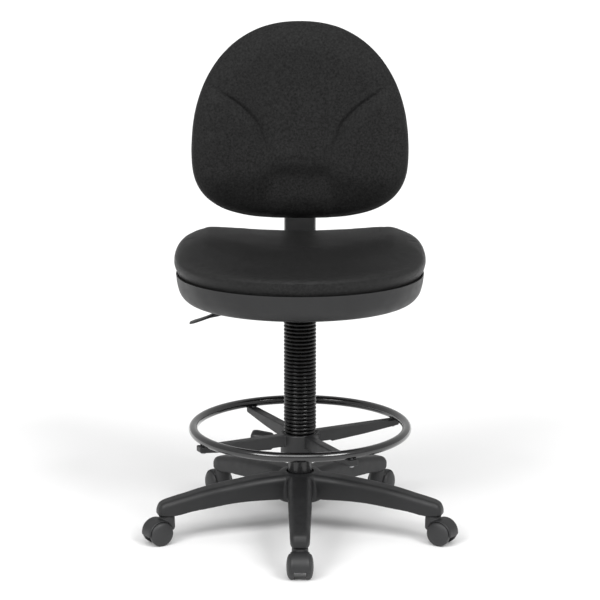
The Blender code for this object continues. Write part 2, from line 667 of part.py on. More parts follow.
def build_seat():
    shell_mat = material("seat_shell_plastic", (0.05, 0.051, 0.053), 0.5)
    levels = [[(x, y, z) for x, y in seat_outline(inset)] for inset, z in SHELL_LEVELS]
    shell = loft("seat_shell", levels, shell_mat, smooth=True, caps=False)
    solidify = shell.modifiers.new("Wall", "SOLIDIFY")
    solidify.thickness = SHELL_WALL
    solidify.offset = -1.0
    cut(shell, *[box("shell_opening", low, high) for low, high in SHELL_OPENINGS])

    board_mat = material("seat_board_plywood", (0.55, 0.40, 0.24), 0.7)
    board = prism("seat_board", seat_outline(BOARD_INSET), BOARD_Z, BOARD_Z + BOARD_THICKNESS, board_mat)

    cushion_mat = material("seat_fabric", (0.012, 0.012, 0.013), 0.9)
    low = BOARD_Z + BOARD_THICKNESS + GAP
    rings = [[(x, y, low) for x, y in seat_outline(CUSHION_RIM + CUSHION_TAPER)],
             [(x, y, SEAM_Z + GAP) for x, y in seat_outline(CUSHION_RIM)],
             [(x, y, CUSHION_LIP_Z) for x, y in seat_outline(CUSHION_LIP)]]
    for inset in CUSHION_INSETS:
        rings.append([(x, y, seat_top(x, y, inset + CUSHION_LIP)) for x, y in seat_outline(inset)])
    loft("seat_cushion", rings, cushion_mat, smooth=True)

    steel = material("mechanism_steel", (0.03, 0.03, 0.031), 0.4, 0.6)
    plate = box("seat_mechanism", (-PLATE_HALF_WIDTH, -PLATE_HALF_DEPTH, PLATE_TOP - PLATE),
                (PLATE_HALF_WIDTH, PLATE_HALF_DEPTH, PLATE_TOP), steel)
    join(plate, box("housing", *HOUSING))
    cut(plate, box("cavity", *CAVITY))
    boss_bottom = MECH_BOTTOM + PLATE / 2
    join(plate,
         box("bar_guide", *BAR_GUIDE),
         cylinder("boss", TAPER_BOSS_RADIUS, (0, 0, boss_bottom), (0, 0, TAPER_BOSS_TOP), 20))
    cut(plate,
        box("lever_slot", *LEVER_SLOT),
        box("pin_window", *PIN_WINDOW),
        cylinder("taper_bore", CYLINDER_RADIUS + GAP, (0, 0, TAPER_BORE_BOTTOM), (0, 0, TAPER_BORE_TOP), 20),
        cylinder("depth_knob_hole", STUD_HOLE, (0, DEPTH_KNOB_Y, TAPER_BORE_BOTTOM),
                 (0, DEPTH_KNOB_Y, BAR_Z), 12))

    bolt_mat = material("seat_bolt_steel", (0.4, 0.4, 0.41), 0.3, 1.0)
    head_top = PLATE_TOP - PLATE - GAP
    head_low = head_top - SEAT_BOLT_HEAD_DEPTH
    shank_top = BOARD_Z + SEAT_BOLT_REACH
    hole_top = shank_top + RUN_GAP
    corners = [(x, y) for x in (-BOLT_X, BOLT_X) for y in (-BOLT_Y, BOLT_Y)]
    for number, (x, y) in enumerate(corners, 1):
        bolt = turned(f"seat_bolt_{number}", [
            (0, shank_top), (SEAT_BOLT_SHANK, shank_top), (SEAT_BOLT_SHANK, head_top),
            (SEAT_BOLT_HEAD, head_top), (SEAT_BOLT_HEAD, head_low), (0, head_low)], 8, bolt_mat)
        bolt.location = (x, y, 0)
        cut(plate, cylinder(f"plate_hole_{number}", BOLT_HOLE, (x, y, head_low), (x, y, BOARD_Z), 12))
        cut(board, cylinder(f"board_hole_{number}", BOLT_HOLE, (x, y, head_low), (x, y, hole_top), 12))


def build_lever():
    rod_mat = material("lever_rod_steel", (0.35, 0.35, 0.36), 0.3, 1.0)
    curve = bpy.data.curves.new("lever_rod_path", "CURVE")
    curve.dimensions = "3D"
    curve.bevel_depth = LEVER_ROD_RADIUS
    curve.bevel_resolution = 2
    curve.use_fill_caps = True
    spline = curve.splines.new("POLY")
    spline.points.add(len(ROD_PATH) - 1)
    for point, spot in zip(spline.points, ROD_PATH):
        point.co = (*spot, 1.0)
    rod = bpy.data.objects.new("lever_rod", curve)
    rod.data.materials.append(rod_mat)
    PARTS.objects.link(rod)

    grip_mat = material("lever_handle_plastic", (0.03, 0.03, 0.031), 0.4)
    rings = []
    for x, z, half_width, half_height in HANDLE_SECTIONS:
        angles = [math.tau * i / HANDLE_SIDES for i in range(HANDLE_SIDES)]
        rings.append([(x, half_width * math.cos(a), z + half_height * math.sin(a)) for a in angles])
    handle = loft("lever_handle", rings, grip_mat, smooth=True)
    end = Vector(ROD_PATH[-1])
    run = (end - Vector(ROD_PATH[-2])).normalized()
    cut(handle, cylinder("handle_bore", HANDLE_BORE, end - run * HANDLE_GRIP, end + run * RUN_GAP, 12))


# ---------------------------------------------------------------- back

BACK_POWER_UP = 2.2
BACK_POWER_DOWN = 2.8
BACK_WRAP = 0.020
BACK_REAR = BACK_Y + 0.0015
BACK_REAR_INSET = 0.045
BACK_SEAM_INSET = 0.014
BACK_LEVELS = ((0.001, 0.002), (0.0, 0.008), (0.003, 0.020), (0.012, 0.034), (0.030, 0.045),
               (0.060, 0.052), (0.100, 0.056))
BACK_SHELL_LEVELS = ((0.004, 0.0015), (0.006, 0.012), (0.013, 0.024), (0.026, 0.035), (0.048, 0.045),
                     (0.080, 0.053), (0.120, 0.059))
BACK_BOARD_INSET = 0.055
BACK_BOARD_Y = BACK_REAR + GAP
BACK_BOARD = 0.010
POST_OPENING = ((-0.037, 0.2395, 0.60), (0.037, 0.2720, 0.70))
KNOB_OPENING = 0.0085
BRACKET_Y = BACK_BOARD_Y + BACK_BOARD + GAP
BRACKET_LOW = 0.720
BRACKET_HIGH = 0.850
BRACKET_HALF = 0.045
BRACKET_BODY_HALF = 0.029
BRACKET_LIGHTENING_HALF = 0.020
BRACKET_REAR = BAR_Y + 0.0075
SLIDE_GAP = 0.0006
BEND_RADIUS = 0.050
BEND_STEPS = 6
BAR_START = 0.040
BAR_END = 0.845
COVER_LOW = 0.530
COVER_HIGH = 0.700
COVER_HALF_DEPTH = 0.012
COVER_CORNER = 0.008
BACK_STUD_END = BAR_Y + BAR_THICKNESS / 2 + RUN_GAP
BACK_KNOB_PROFILE = ((0, KNOB_REACH), (0.016, KNOB_REACH), (0.020, KNOB_REACH - 0.003),
                     (0.020, KNOB_REACH - 0.025), (0.014, KNOB_REACH - 0.031),
                     (0.0078, KNOB_REACH - 0.043), (0.0078, 0.270), (0.0039, 0.270),
                     (0.0039, BACK_STUD_END), (0, BACK_STUD_END))
DEPTH_KNOB_PROFILE = ((0, 0.468), (0.0038, 0.468), (0.0038, 0.4610), (0.010, 0.4610), (0.016, 0.4520),
                      (0.016, 0.4400), (0.013, 0.4370), (0, 0.4370))


def back_outline(inset, count=28):
    return superellipse(BACK_HALF_WIDTH, BACK_UP, BACK_DOWN, BACK_POWER_UP, BACK_POWER_DOWN, count, inset)


def back_ring(inset, y_of):
    """One ring of the back's outline, as points in space."""
    return [(x, y_of(x), BACK_CENTRE_Z + z) for x, z in back_outline(inset)]


def seam_y(x):
    """The back wraps a little round the sitter."""
    return BACK_Y - BACK_WRAP * (x / BACK_HALF_WIDTH) ** 2


def build_back():
    fabric = material("back_fabric", (0.012, 0.012, 0.013), 0.9)
    rings = [back_ring(BACK_REAR_INSET, lambda x: BACK_REAR), back_ring(BACK_SEAM_INSET, seam_y)]
    for inset, forward in BACK_LEVELS:
        rings.append(back_ring(inset, lambda x, f=forward: seam_y(x) - f))
    loft("back_cushion", rings, fabric, smooth=True)

    board_mat = material("back_board_plywood", (0.55, 0.40, 0.24), 0.7)
    outline = [(x, BACK_CENTRE_Z + z) for x, z in back_outline(BACK_BOARD_INSET)]
    board = prism("back_board", outline, 0, BACK_BOARD, board_mat)
    board.data.transform(Matrix(((1, 0, 0, 0), (0, 0, 1, BACK_BOARD_Y), (0, 1, 0, 0), (0, 0, 0, 1))))
    board.data.flip_normals()

    shell_mat = material("back_shell_plastic", (0.05, 0.051, 0.053), 0.5)
    levels = [back_ring(inset, lambda x, b=back: seam_y(x) + b) for inset, back in BACK_SHELL_LEVELS]
    shell = loft("back_shell", levels, shell_mat, smooth=True, caps=False)
    solidify = shell.modifiers.new("Wall", "SOLIDIFY")
    solidify.thickness = SHELL_WALL
    solidify.offset = -1.0
    cut(shell, box("post_opening", *POST_OPENING))
    cut(shell, cylinder("knob_opening", KNOB_OPENING, (0, BACK_REAR, BACK_KNOB_Z),
                        (0, KNOB_REACH, BACK_KNOB_Z), 16))

    steel = material("back_bracket_steel", (0.03, 0.03, 0.031), 0.4, 0.6)
    clear = BAR_THICKNESS / 2 + SLIDE_GAP
    half = BAR_WIDTH / 2 + SLIDE_GAP
    bracket = box("back_bracket", (-BRACKET_HALF, BRACKET_Y, BRACKET_LOW),
                  (BRACKET_HALF, BRACKET_Y + PLATE, BRACKET_HIGH), steel)
    join(bracket, box("bracket_body", (-BRACKET_BODY_HALF, BRACKET_Y + PLATE / 3, BRACKET_LOW),
                      (BRACKET_BODY_HALF, BRACKET_REAR, BRACKET_HIGH)))
    below = BRACKET_LOW - BRACKET_HALF
    above = BRACKET_HIGH + BRACKET_HALF
    cut(bracket, box("bar_slot", (-half, BAR_Y - clear, below), (half, BAR_Y + clear, above)),
        box("lightening", (-BRACKET_LIGHTENING_HALF, BRACKET_Y + PLATE + GAP, below),
            (BRACKET_LIGHTENING_HALF, BAR_Y, above)),
        cylinder("bracket_hole", STUD_HOLE, (0, BAR_Y, BACK_KNOB_Z), (0, KNOB_REACH, BACK_KNOB_Z), 12))

    bar_mat = material("j_bar_steel", (0.02, 0.02, 0.021), 0.35, 0.5)
    centre_y = BAR_Y - BEND_RADIUS
    centre_z = BAR_Z + BEND_RADIUS
    inner = BEND_RADIUS - BAR_THICKNESS / 2
    outer = BEND_RADIUS + BAR_THICKNESS / 2
    angles = [math.pi / 2 * i / BEND_STEPS for i in range(BEND_STEPS + 1)]
    outline = [(BAR_START, BAR_Z + BAR_THICKNESS / 2), (BAR_START, BAR_Z - BAR_THICKNESS / 2)]
    outline += [(centre_y + outer * math.sin(a), centre_z - outer * math.cos(a)) for a in angles]
    outline += [(BAR_Y + BAR_THICKNESS / 2, BAR_END), (BAR_Y - BAR_THICKNESS / 2, BAR_END)]
    outline += [(centre_y + inner * math.sin(a), centre_z - inner * math.cos(a)) for a in reversed(angles)]
    bar = side_prism("j_bar", outline, BAR_WIDTH / 2)
    bar.data.materials.append(bar_mat)

    cover_mat = material("j_bar_cover_plastic", (0.04, 0.04, 0.042), 0.35)
    cover = box("j_bar_cover", (-COVER_WIDTH / 2, BAR_Y - COVER_HALF_DEPTH, COVER_LOW),
                (COVER_WIDTH / 2, BAR_Y + COVER_HALF_DEPTH, COVER_HIGH), cover_mat)
    round_uprights(cover, COVER_CORNER)
    cut(cover, box("cover_slot", (-half, BAR_Y - clear, BAR_Z), (half, BAR_Y + clear, BRACKET_LOW)))

    knob_mat = material("back_knob_plastic", (0.025, 0.025, 0.026), 0.4)
    knob = turned("back_height_knob", BACK_KNOB_PROFILE, 20, knob_mat)
    knob.location = (0, 0, BACK_KNOB_Z)
    knob.rotation_euler = (-math.pi / 2, 0, 0)

    depth_knob = turned("back_depth_knob", DEPTH_KNOB_PROFILE, 16, knob_mat)
    depth_knob.location = (0, DEPTH_KNOB_Y, 0)


def round_uprights(obj, width):
    """Rounds the box's four upright edges."""
    bm = bmesh.new()
    bm.from_mesh(obj.data)
    upright = [edge for edge in bm.edges if abs(edge.verts[0].co.z - edge.verts[1].co.z) > width]
    bmesh.ops.bevel(bm, geom=upright, offset=width, segments=4, profile=0.5, affect="EDGES")
    bm.to_mesh(obj.data)
    bm.free()


clear_scene()
PARTS = new_collection(COLLECTION_NAME)
TOOLS = new_collection("Cutters")
build_base()
build_gas_lift()
build_casters()
build_foot_ring()
build_seat()
build_lever()
build_back()
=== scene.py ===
"""The drafting chair's looks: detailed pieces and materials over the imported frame."""

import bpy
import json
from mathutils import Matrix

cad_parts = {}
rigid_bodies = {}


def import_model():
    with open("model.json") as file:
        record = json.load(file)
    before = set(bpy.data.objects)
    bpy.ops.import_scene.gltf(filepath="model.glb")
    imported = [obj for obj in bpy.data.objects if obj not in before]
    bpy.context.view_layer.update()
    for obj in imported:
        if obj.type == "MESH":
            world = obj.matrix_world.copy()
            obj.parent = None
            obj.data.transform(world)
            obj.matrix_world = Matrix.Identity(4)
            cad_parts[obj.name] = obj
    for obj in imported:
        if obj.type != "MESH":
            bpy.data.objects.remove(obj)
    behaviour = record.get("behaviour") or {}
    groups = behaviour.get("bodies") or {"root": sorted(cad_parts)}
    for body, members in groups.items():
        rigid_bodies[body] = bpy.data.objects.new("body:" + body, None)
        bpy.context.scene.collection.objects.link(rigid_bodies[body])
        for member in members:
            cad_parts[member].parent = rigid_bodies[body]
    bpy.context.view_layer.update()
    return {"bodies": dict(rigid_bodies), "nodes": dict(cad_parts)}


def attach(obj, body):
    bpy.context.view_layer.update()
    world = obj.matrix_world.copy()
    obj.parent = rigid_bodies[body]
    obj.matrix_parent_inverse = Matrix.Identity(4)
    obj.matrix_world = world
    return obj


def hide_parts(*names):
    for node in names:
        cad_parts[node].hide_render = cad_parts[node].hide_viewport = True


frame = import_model()

import json
import math

import bmesh
import bpy
import numpy as np
from mathutils import Matrix, Vector, noise

# Main dimensions of the CAD model, in metres and degrees
ARM_ANGLES = (270, 342, 54, 126, 198)
CASTER_HEADINGS = (270, 328, 60, 120, 212)
STEM_CIRCLE = 0.287
TRAIL = 0.021
WHEEL_RADIUS = 0.025
WHEEL_INNER = 0.0118
WHEEL_OUTER = 0.026
SPOKE_ANGLES = (27.5, 117.5, 207.5, 297.5)
RING_RADIUS = 0.221
RING_TUBE = 0.0095
RING_Z = 0.2197
SPOKE_TOP = 0.2098
KNOB_ANGLE = 162
KNOB_Z = 0.188
SEAT_HALF_WIDTH = 0.255
SEAT_FRONT = 0.246
SEAT_REAR = 0.232
SEAT_FRONT_POWER = 2.05
SEAT_REAR_POWER = 2.5
SEAM_Z = 0.548
SHELL_BOTTOM = 0.489
BACK_HALF_WIDTH = 0.230
BACK_CENTRE_Z = 0.768
BACK_UP = 0.273
BACK_DOWN = 0.1477
BACK_UP_POWER = 2.2
BACK_DOWN_POWER = 2.8
BACK_Y = 0.222
BACK_BOW = 0.020
BAR_Y = 0.255
BAR_Z = 0.4715
BAR_HALF_WIDTH = 0.025
BAR_HALF_THICK = 0.003
COVER_PLAY = 0.0006
BACK_KNOB_Z = 0.780

RING_POINTS = 160


# ---------------------------------------------------------------- node helpers

class Nodes:
    """A short way to build one material's node tree."""

    def __init__(self, name):
        self.material = bpy.data.materials.new(name)
        self.material.use_nodes = True
        self.tree = self.material.node_tree
        self.shader = self.tree.nodes["Principled BSDF"]
        self.place = self.add("ShaderNodeTexCoord").outputs["Object"]

    def add(self, kind, **values):
        node = self.tree.nodes.new(kind)
        for key, value in values.items():
            if hasattr(node, key):
                setattr(node, key, value)
            else:
                node.inputs[key.replace("_", " ")].default_value = value
        return node

    def link(self, source, target):
        self.tree.links.new(source, target)

    def noise(self, scale, detail=3.0, roughness=0.5, vector=None):
        node = self.add("ShaderNodeTexNoise", Scale=scale, Detail=detail, Roughness=roughness)
        self.link(vector or self.place, node.inputs["Vector"])
        return node.outputs["Fac"]

    def ramp(self, source, low, high, start=0.0, end=1.0):
        """Maps the span from start to end onto the span from low to high."""
        node = self.add("ShaderNodeMapRange", From_Min=start, From_Max=end, To_Min=low,
                        To_Max=high)
        self.link(source, node.inputs["Value"])
        return node.outputs["Result"]

    def math(self, operation, *values):
        """A Math node over sockets and plain numbers."""
        node = self.add("ShaderNodeMath", operation=operation)
        for socket, value in zip(node.inputs, values):
            if isinstance(value, (int, float)):
                socket.default_value = value
            else:
                self.link(value, socket)
        return node.outputs[0]

    def mix(self, factor, first, second):
        """Mixes two colours by a value; the first may be a socket."""
        node = self.add("ShaderNodeMix", data_type="RGBA")
        factor_input, first_input, second_input = node.inputs[0], node.inputs[6], node.inputs[7]
        self.link(factor, factor_input)
        if isinstance(first, bpy.types.NodeSocket):
            self.link(first, first_input)
        else:
            first_input.default_value = (*first, 1.0)
        second_input.default_value = (*second, 1.0)
        return node.outputs[2]

    def stretched(self, scale):
        """The object's coordinates, scaled along each axis."""
        node = self.add("ShaderNodeMapping", Scale=scale)
        self.link(self.place, node.inputs["Vector"])
        return node.outputs["Vector"]

    def bump(self, height, distance, strength=1.0):
        node = self.add("ShaderNodeBump", Distance=distance, Strength=strength)
        self.link(height, node.inputs["Height"])
        self.link(node.outputs["Normal"], self.shader.inputs["Normal"])

    def set(self, socket, value):
        target = self.shader.inputs[socket]
        if isinstance(value, bpy.types.NodeSocket):
            self.link(value, target)
        else:
            target.default_value = value


def moulded_plastic(name, colour, roughness, grain=900.0, depth=0.00010, wear=0.35, shine=0.42):
    """Injection-moulded plastic: fine spark grain, soft blotches and paler handled edges."""
    nodes = Nodes(name)
    blotch = nodes.noise(14.0, 4.0, 0.6)
    worn = [min(1.0, value * 1.35 + 0.006) for value in colour]
    dark = [value * 0.82 for value in colour]
    base = nodes.mix(nodes.ramp(blotch, 0.0, 1.0, 0.35, 0.65), dark, colour)
    geometry = nodes.add("ShaderNodeNewGeometry")
    edge = nodes.ramp(geometry.outputs["Pointiness"], 0.0, wear, 0.51, 0.60)
    nodes.set("Base Color", nodes.mix(edge, base, worn))
    fine = nodes.noise(grain, 2.0, 0.6)
    sheen = nodes.noise(40.0, 3.0)
    nodes.set("Roughness", nodes.ramp(sheen, roughness - 0.06, roughness + 0.06, 0.3, 0.7))
    nodes.bump(fine, depth)
    nodes.set("Specular IOR Level", shine)
    return nodes.material


def painted_steel(name, colour, roughness, coat=0.0):
    """Powder-coated or enamelled steel: faint orange peel and small scuffs."""
    nodes = Nodes(name)
    peel = nodes.noise(260.0, 2.0, 0.5)
    scuff = nodes.noise(22.0, 6.0, 0.7)
    nodes.set("Base Color", nodes.mix(nodes.ramp(scuff, 0.0, 1.0, 0.45, 0.75), colour,
                                      [value * 1.5 + 0.002 for value in colour]))
    nodes.set("Roughness", nodes.ramp(scuff, roughness - 0.03, roughness + 0.09, 0.35, 0.75))
    nodes.set("Coat Weight", coat)
    nodes.set("Coat Roughness", 0.08)
    nodes.bump(peel, 0.00006, 0.6)
    return nodes.material


def bare_steel(name, colour, roughness):
    """Plated steel with fine turning marks."""
    nodes = Nodes(name)
    lines = nodes.noise(300.0, 2.0, 0.5, nodes.stretched((1.0, 1.0, 12.0)))
    nodes.set("Base Color", nodes.mix(lines, [value * 0.8 for value in colour], colour))
    nodes.set("Metallic", 1.0)
    nodes.set("Roughness", nodes.ramp(lines, roughness - 0.05, roughness + 0.08))
    nodes.bump(lines, 0.00003, 0.5)
    return nodes.material


def plywood(name):
    """Birch ply with its grain running across the chair."""
    nodes = Nodes(name)
    grain = nodes.noise(1.4, 6.0, 0.65, nodes.stretched((6.0, 60.0, 60.0)))
    nodes.set("Base Color", nodes.mix(grain, (0.36, 0.23, 0.12), (0.62, 0.45, 0.28)))
    nodes.set("Roughness", nodes.ramp(grain, 0.75, 0.6))
    nodes.bump(grain, 0.0003, 0.5)
    return nodes.material


THREAD_PITCH = 0.0013
CLOTH_GREYS = (0.0048, 0.0180)


def black_fabric(name, axes, tone_share, shine, smooth=0.44):
    """Close-woven polyester crepe; axes are the two axes of the cloth's plane."""
    nodes = Nodes(name)
    split = nodes.add("ShaderNodeSeparateXYZ")
    nodes.link(nodes.place, split.inputs[0])
    first = split.outputs[axes[0]]
    second = split.outputs[axes[1]]
    thread = 2 * math.pi / THREAD_PITCH
    waves = []
    for way in ("ADD", "SUBTRACT"):
        slant = nodes.math(way, first, second)
        waves.append(nodes.math("SINE", nodes.math("MULTIPLY", slant, thread)))
    weave = nodes.math("MULTIPLY", *waves)
    slub = nodes.noise(420.0, 3.0, 0.65)
    height = nodes.math("ADD", nodes.math("MULTIPLY", weave, 0.35), slub)
    mottle = nodes.noise(230.0, 4.0, 0.75)
    tone = nodes.math("ADD", nodes.math("MULTIPLY", weave, 0.10), mottle)
    dark, pale = ([grey * tone_share] * 3 for grey in CLOTH_GREYS)
    nodes.set("Base Color", nodes.mix(nodes.ramp(tone, 0.0, 1.0, 0.30, 0.72), dark, pale))
    nodes.set("Roughness", nodes.ramp(mottle, smooth, smooth + 0.14, 0.3, 0.7))
    nodes.set("Specular IOR Level", shine)
    nodes.bump(height, 0.00035, 0.8)
    return nodes.material


# ---------------------------------------------------------------- mesh helpers

def make_mesh(name, verts, faces):
    """A mesh with doubled points merged and its faces turned outwards."""
    mesh = bpy.data.meshes.new(name)
    mesh.from_pydata([tuple(map(float, vert)) for vert in verts], [], faces)
    bm = bmesh.new()
    bm.from_mesh(mesh)
    bmesh.ops.remove_doubles(bm, verts=bm.verts, dist=0.0000005)
    bmesh.ops.recalc_face_normals(bm, faces=bm.faces)
    bm.to_mesh(mesh)
    bm.free()
    return mesh


def skin(name, rows, loop=False):
    """A mesh over rows that each close on themselves.

    loop joins the last row to the first; otherwise both ends are capped."""
    rows = [np.asarray(row, dtype=float) for row in rows]
    count = len(rows[0])
    faces = []
    pairs = [(r, r + 1) for r in range(len(rows) - 1)]
    if loop:
        pairs.append((len(rows) - 1, 0))
    for low, high in pairs:
        for i in range(count):
            j = (i + 1) % count
            faces.append((low * count + i, low * count + j, high * count + j, high * count + i))
    if not loop:
        faces.append(tuple(reversed(range(count))))
        faces.append(tuple(range((len(rows) - 1) * count, len(rows) * count)))
    return make_mesh(name, np.concatenate(rows), faces)


def rounded(points, radius, steps=4, closed=False):
    """A polyline with its corners rounded; radius is one value or one for each point."""
    points = [Vector((point[0], point[1])) for point in points]
    radii = radius if isinstance(radius, (list, tuple)) else [radius] * len(points)
    made = []
    last = len(points) - 1
    for i, point in enumerate(points):
        if not closed and i in (0, last):
            made.append(tuple(point))
            continue
        before = points[i - 1] - point
        after = points[(i + 1) % len(points)] - point
        reach = min(radii[i], before.length * 0.49, after.length * 0.49)
        if reach < 1e-7:
            made.append(tuple(point))
            continue
        start = point + before.normalized() * reach
        end = point + after.normalized() * reach
        for k in range(steps + 1):
            t = k / steps
            spot = start * (1 - t) ** 2 + point * 2 * t * (1 - t) + end * t ** 2
            made.append(tuple(spot))
    return made


def lathe(name, profile, steps, closed=False, shape=None):
    """Turns (radius, height) points about Z.

    shape(angle, radius, height) may change the radius."""
    rows = []
    for radius, height in profile:
        row = []
        for i in range(steps):
            angle = 2 * math.pi * i / steps
            reach = shape(angle, radius, height) if shape else radius
            row.append((reach * math.cos(angle), reach * math.sin(angle), height))
        rows.append(row)
    return skin(name, rows, loop=closed)


def finished(name, bm):
    """The built geometry as a mesh."""
    mesh = bpy.data.meshes.new(name)
    bm.to_mesh(mesh)
    bm.free()
    return mesh


def block(name, low, high, radius=0.0):
    """A box with rounded edges."""
    bm = bmesh.new()
    size = Vector(high) - Vector(low)
    centre = (Vector(high) + Vector(low)) / 2
    place = Matrix.Translation(centre) @ Matrix.Diagonal((*size, 1))
    bmesh.ops.create_cube(bm, size=1.0, matrix=place)
    if radius:
        bmesh.ops.bevel(bm, geom=list(bm.edges), offset=radius, segments=3, profile=0.5,
                        affect="EDGES")
    return finished(name, bm)


def rod(name, radius, start, end, steps=48):
    """A plain round bar as a mesh."""
    start = Vector(start)
    axis = Vector(end) - start
    bm = bmesh.new()
    turn = axis.to_track_quat("Z", "Y").to_matrix().to_4x4()
    bmesh.ops.create_cone(bm, cap_ends=True, segments=steps, radius1=radius, radius2=radius,
                          depth=axis.length, matrix=Matrix.Translation(start + axis / 2) @ turn)
    return finished(name, bm)


def extruded(name, outline, half_width, radius, steps):
    """An outline in Y and Z, centred across X, with rounded rims."""
    bm = bmesh.new()
    face = bm.faces.new([bm.verts.new((-half_width, y, z)) for y, z in outline])
    moved = bmesh.ops.extrude_face_region(bm, geom=[face])
    far = [item for item in moved["geom"] if isinstance(item, bmesh.types.BMVert)]
    bmesh.ops.translate(bm, verts=far, vec=(2 * half_width, 0, 0))
    bmesh.ops.recalc_face_normals(bm, faces=bm.faces)
    rims = [edge for edge in bm.edges
            if abs(edge.verts[0].co.x - edge.verts[1].co.x) < 1e-6]
    bmesh.ops.bevel(bm, geom=rims, offset=radius, segments=steps, profile=0.5, affect="EDGES")
    return finished(name, bm)


def evaluated(obj):
    """The object's mesh with its modifiers applied."""
    graph = bpy.context.evaluated_depsgraph_get()
    return bpy.data.meshes.new_from_object(obj.evaluated_get(graph))


def place_object(name, data):
    """An object in the scene, for good or for as long as its modifiers are needed."""
    obj = bpy.data.objects.new(name, data)
    bpy.context.scene.collection.objects.link(obj)
    return obj


def add_remesh(obj, voxel):
    remesh = obj.modifiers.new("Remesh", "REMESH")
    remesh.mode = "VOXEL"
    remesh.voxel_size = voxel


def melt(name, shapes, voxel, smoothing):
    """Joins overlapping closed shapes into one skin whose inner corners are filleted."""
    bm = bmesh.new()
    for shape, matrix in shapes:
        copy = shape.copy()
        copy.transform(matrix)
        bm.from_mesh(copy)
        bpy.data.meshes.remove(copy)
    obj = place_object(name, finished(name, bm))
    add_remesh(obj, voxel)
    smooth = obj.modifiers.new("Smooth", "SMOOTH")
    smooth.factor = 0.5
    smooth.iterations = smoothing
    result = evaluated(obj)
    bpy.data.objects.remove(obj)
    result.name = name
    return result


def carve(mesh, cutters):
    """Cuts closed shapes out of a mesh."""
    obj = place_object("carved", mesh)
    tools = []
    for cutter in cutters:
        tool = place_object("tool", cutter)
        tools.append(tool)
        modifier = obj.modifiers.new("Cut", "BOOLEAN")
        modifier.operation = "DIFFERENCE"
        modifier.object = tool
        modifier.solver = "EXACT"
    result = evaluated(obj)
    for item in [obj, *tools]:
        bpy.data.objects.remove(item)
    return result


def piece(name, mesh, body, material, node, sharp, place=None):
    """Adds a finished piece that rides on a body and stands for its CAD node."""
    mesh.materials.clear()
    mesh.materials.append(material)
    mesh.shade_smooth()
    if sharp:
        mesh.set_sharp_from_angle(angle=math.radians(sharp))
    obj = place_object(name, mesh)
    if place is not None:
        obj.matrix_world = place
        bpy.context.view_layer.update()
    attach(obj, body)
    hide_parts(node)
    return obj


def polar(radius, degrees, z=0.0):
    """A point about the column; degrees are counted from +X."""
    angle = math.radians(degrees)
    return Vector((radius * math.cos(angle), radius * math.sin(angle), z))


def smoothstep(low, high, value):
    """A smooth rise from 0 at low to 1 at high; low may be the greater."""
    t = np.clip((value - low) / (high - low), 0.0, 1.0)
    return t * t * (3 - 2 * t)


def curve_value(table, x):
    """A smooth curve through (x, value) pairs, held level outside them."""
    xs = [pair[0] for pair in table]
    ys = [pair[1] for pair in table]
    x = np.clip(x, xs[0], xs[-1])
    index = np.clip(np.searchsorted(xs, x, side="right") - 1, 0, len(xs) - 2)
    xs = np.array(xs)
    ys = np.array(ys)
    slopes = np.gradient(ys, xs)
    span = xs[index + 1] - xs[index]
    t = (x - xs[index]) / span
    a = 2 * t ** 3 - 3 * t ** 2 + 1
    b = t ** 3 - 2 * t ** 2 + t
    c = -2 * t ** 3 + 3 * t ** 2
    d = t ** 3 - t ** 2
    return (a * ys[index] + b * span * slopes[index] + c * ys[index + 1]
            + d * span * slopes[index + 1])


def superellipse(half_width, up, down, power_up, power_down, inset):
    """Points of an outline whose upper and lower halves have their own reach and power."""
    angle = 2 * np.pi * np.arange(RING_POINTS) / RING_POINTS
    across = np.cos(angle)
    along = np.sin(angle)
    power = np.where(along >= 0, power_up, power_down)
    reach = np.where(along >= 0, up, down)
    x = np.sign(across) * np.abs(across) ** (2 / power) * (half_width - inset)
    y = np.sign(along) * np.abs(along) ** (2 / power) * (reach - inset)
    return x, y


# ---------------------------------------------------------------- materials

NYLON = moulded_plastic("base_nylon", (0.0132, 0.0134, 0.0141), 0.50, wear=0.12)
CASTER_NYLON = moulded_plastic("caster_nylon", (0.0200, 0.0203, 0.0212), 0.46, wear=0.15)
WHEEL_NYLON = moulded_plastic("wheel_nylon", (0.0260, 0.0263, 0.0272), 0.50)
SHELL_PLASTIC = moulded_plastic("shell_polypropylene", (0.0140, 0.0141, 0.0146), 0.46, 700.0,
                                0.00014)
HUB_PLASTIC = moulded_plastic("hub_plastic", (0.0150, 0.0152, 0.0158), 0.42)
SLEEVE_PLASTIC = moulded_plastic("sleeve_plastic", (0.0016, 0.0016, 0.0017), 0.24, 300.0,
                                 0.00003, 0.1, 0.30)
KNOB_PLASTIC = moulded_plastic("knob_plastic", (0.0180, 0.0180, 0.0190), 0.40)
# The cover's pale grey is partly painted highlight: it is lifted to stand in for the bright
# reflections along its rounded edges.
COVER_PLASTIC = moulded_plastic("cover_plastic", (0.1150, 0.1160, 0.1180), 0.20, shine=0.85)
ACETAL = moulded_plastic("bush_acetal", (0.50, 0.49, 0.45), 0.45)
TUBE_PAINT = painted_steel("tube_enamel", (0.0030, 0.0030, 0.0033), 0.20, 0.8)
COLUMN_PAINT = painted_steel("column_enamel", (0.0100, 0.0100, 0.0105), 0.30, 0.2)
FRAME_PAINT = painted_steel("frame_powder_coat", (0.0160, 0.0160, 0.0165), 0.45)
PLATED = bare_steel("plated_steel", (0.42, 0.42, 0.43), 0.30)
CHROME = bare_steel("hard_chrome", (0.60, 0.60, 0.61), 0.14)
WOOD = plywood("birch_ply")
SEAT_CLOTH = black_fabric("seat_cloth", (0, 1), 1.24, 0.15, 0.34)
BACK_CLOTH = black_fabric("back_cloth", (0, 2), 1.72, 0.03)


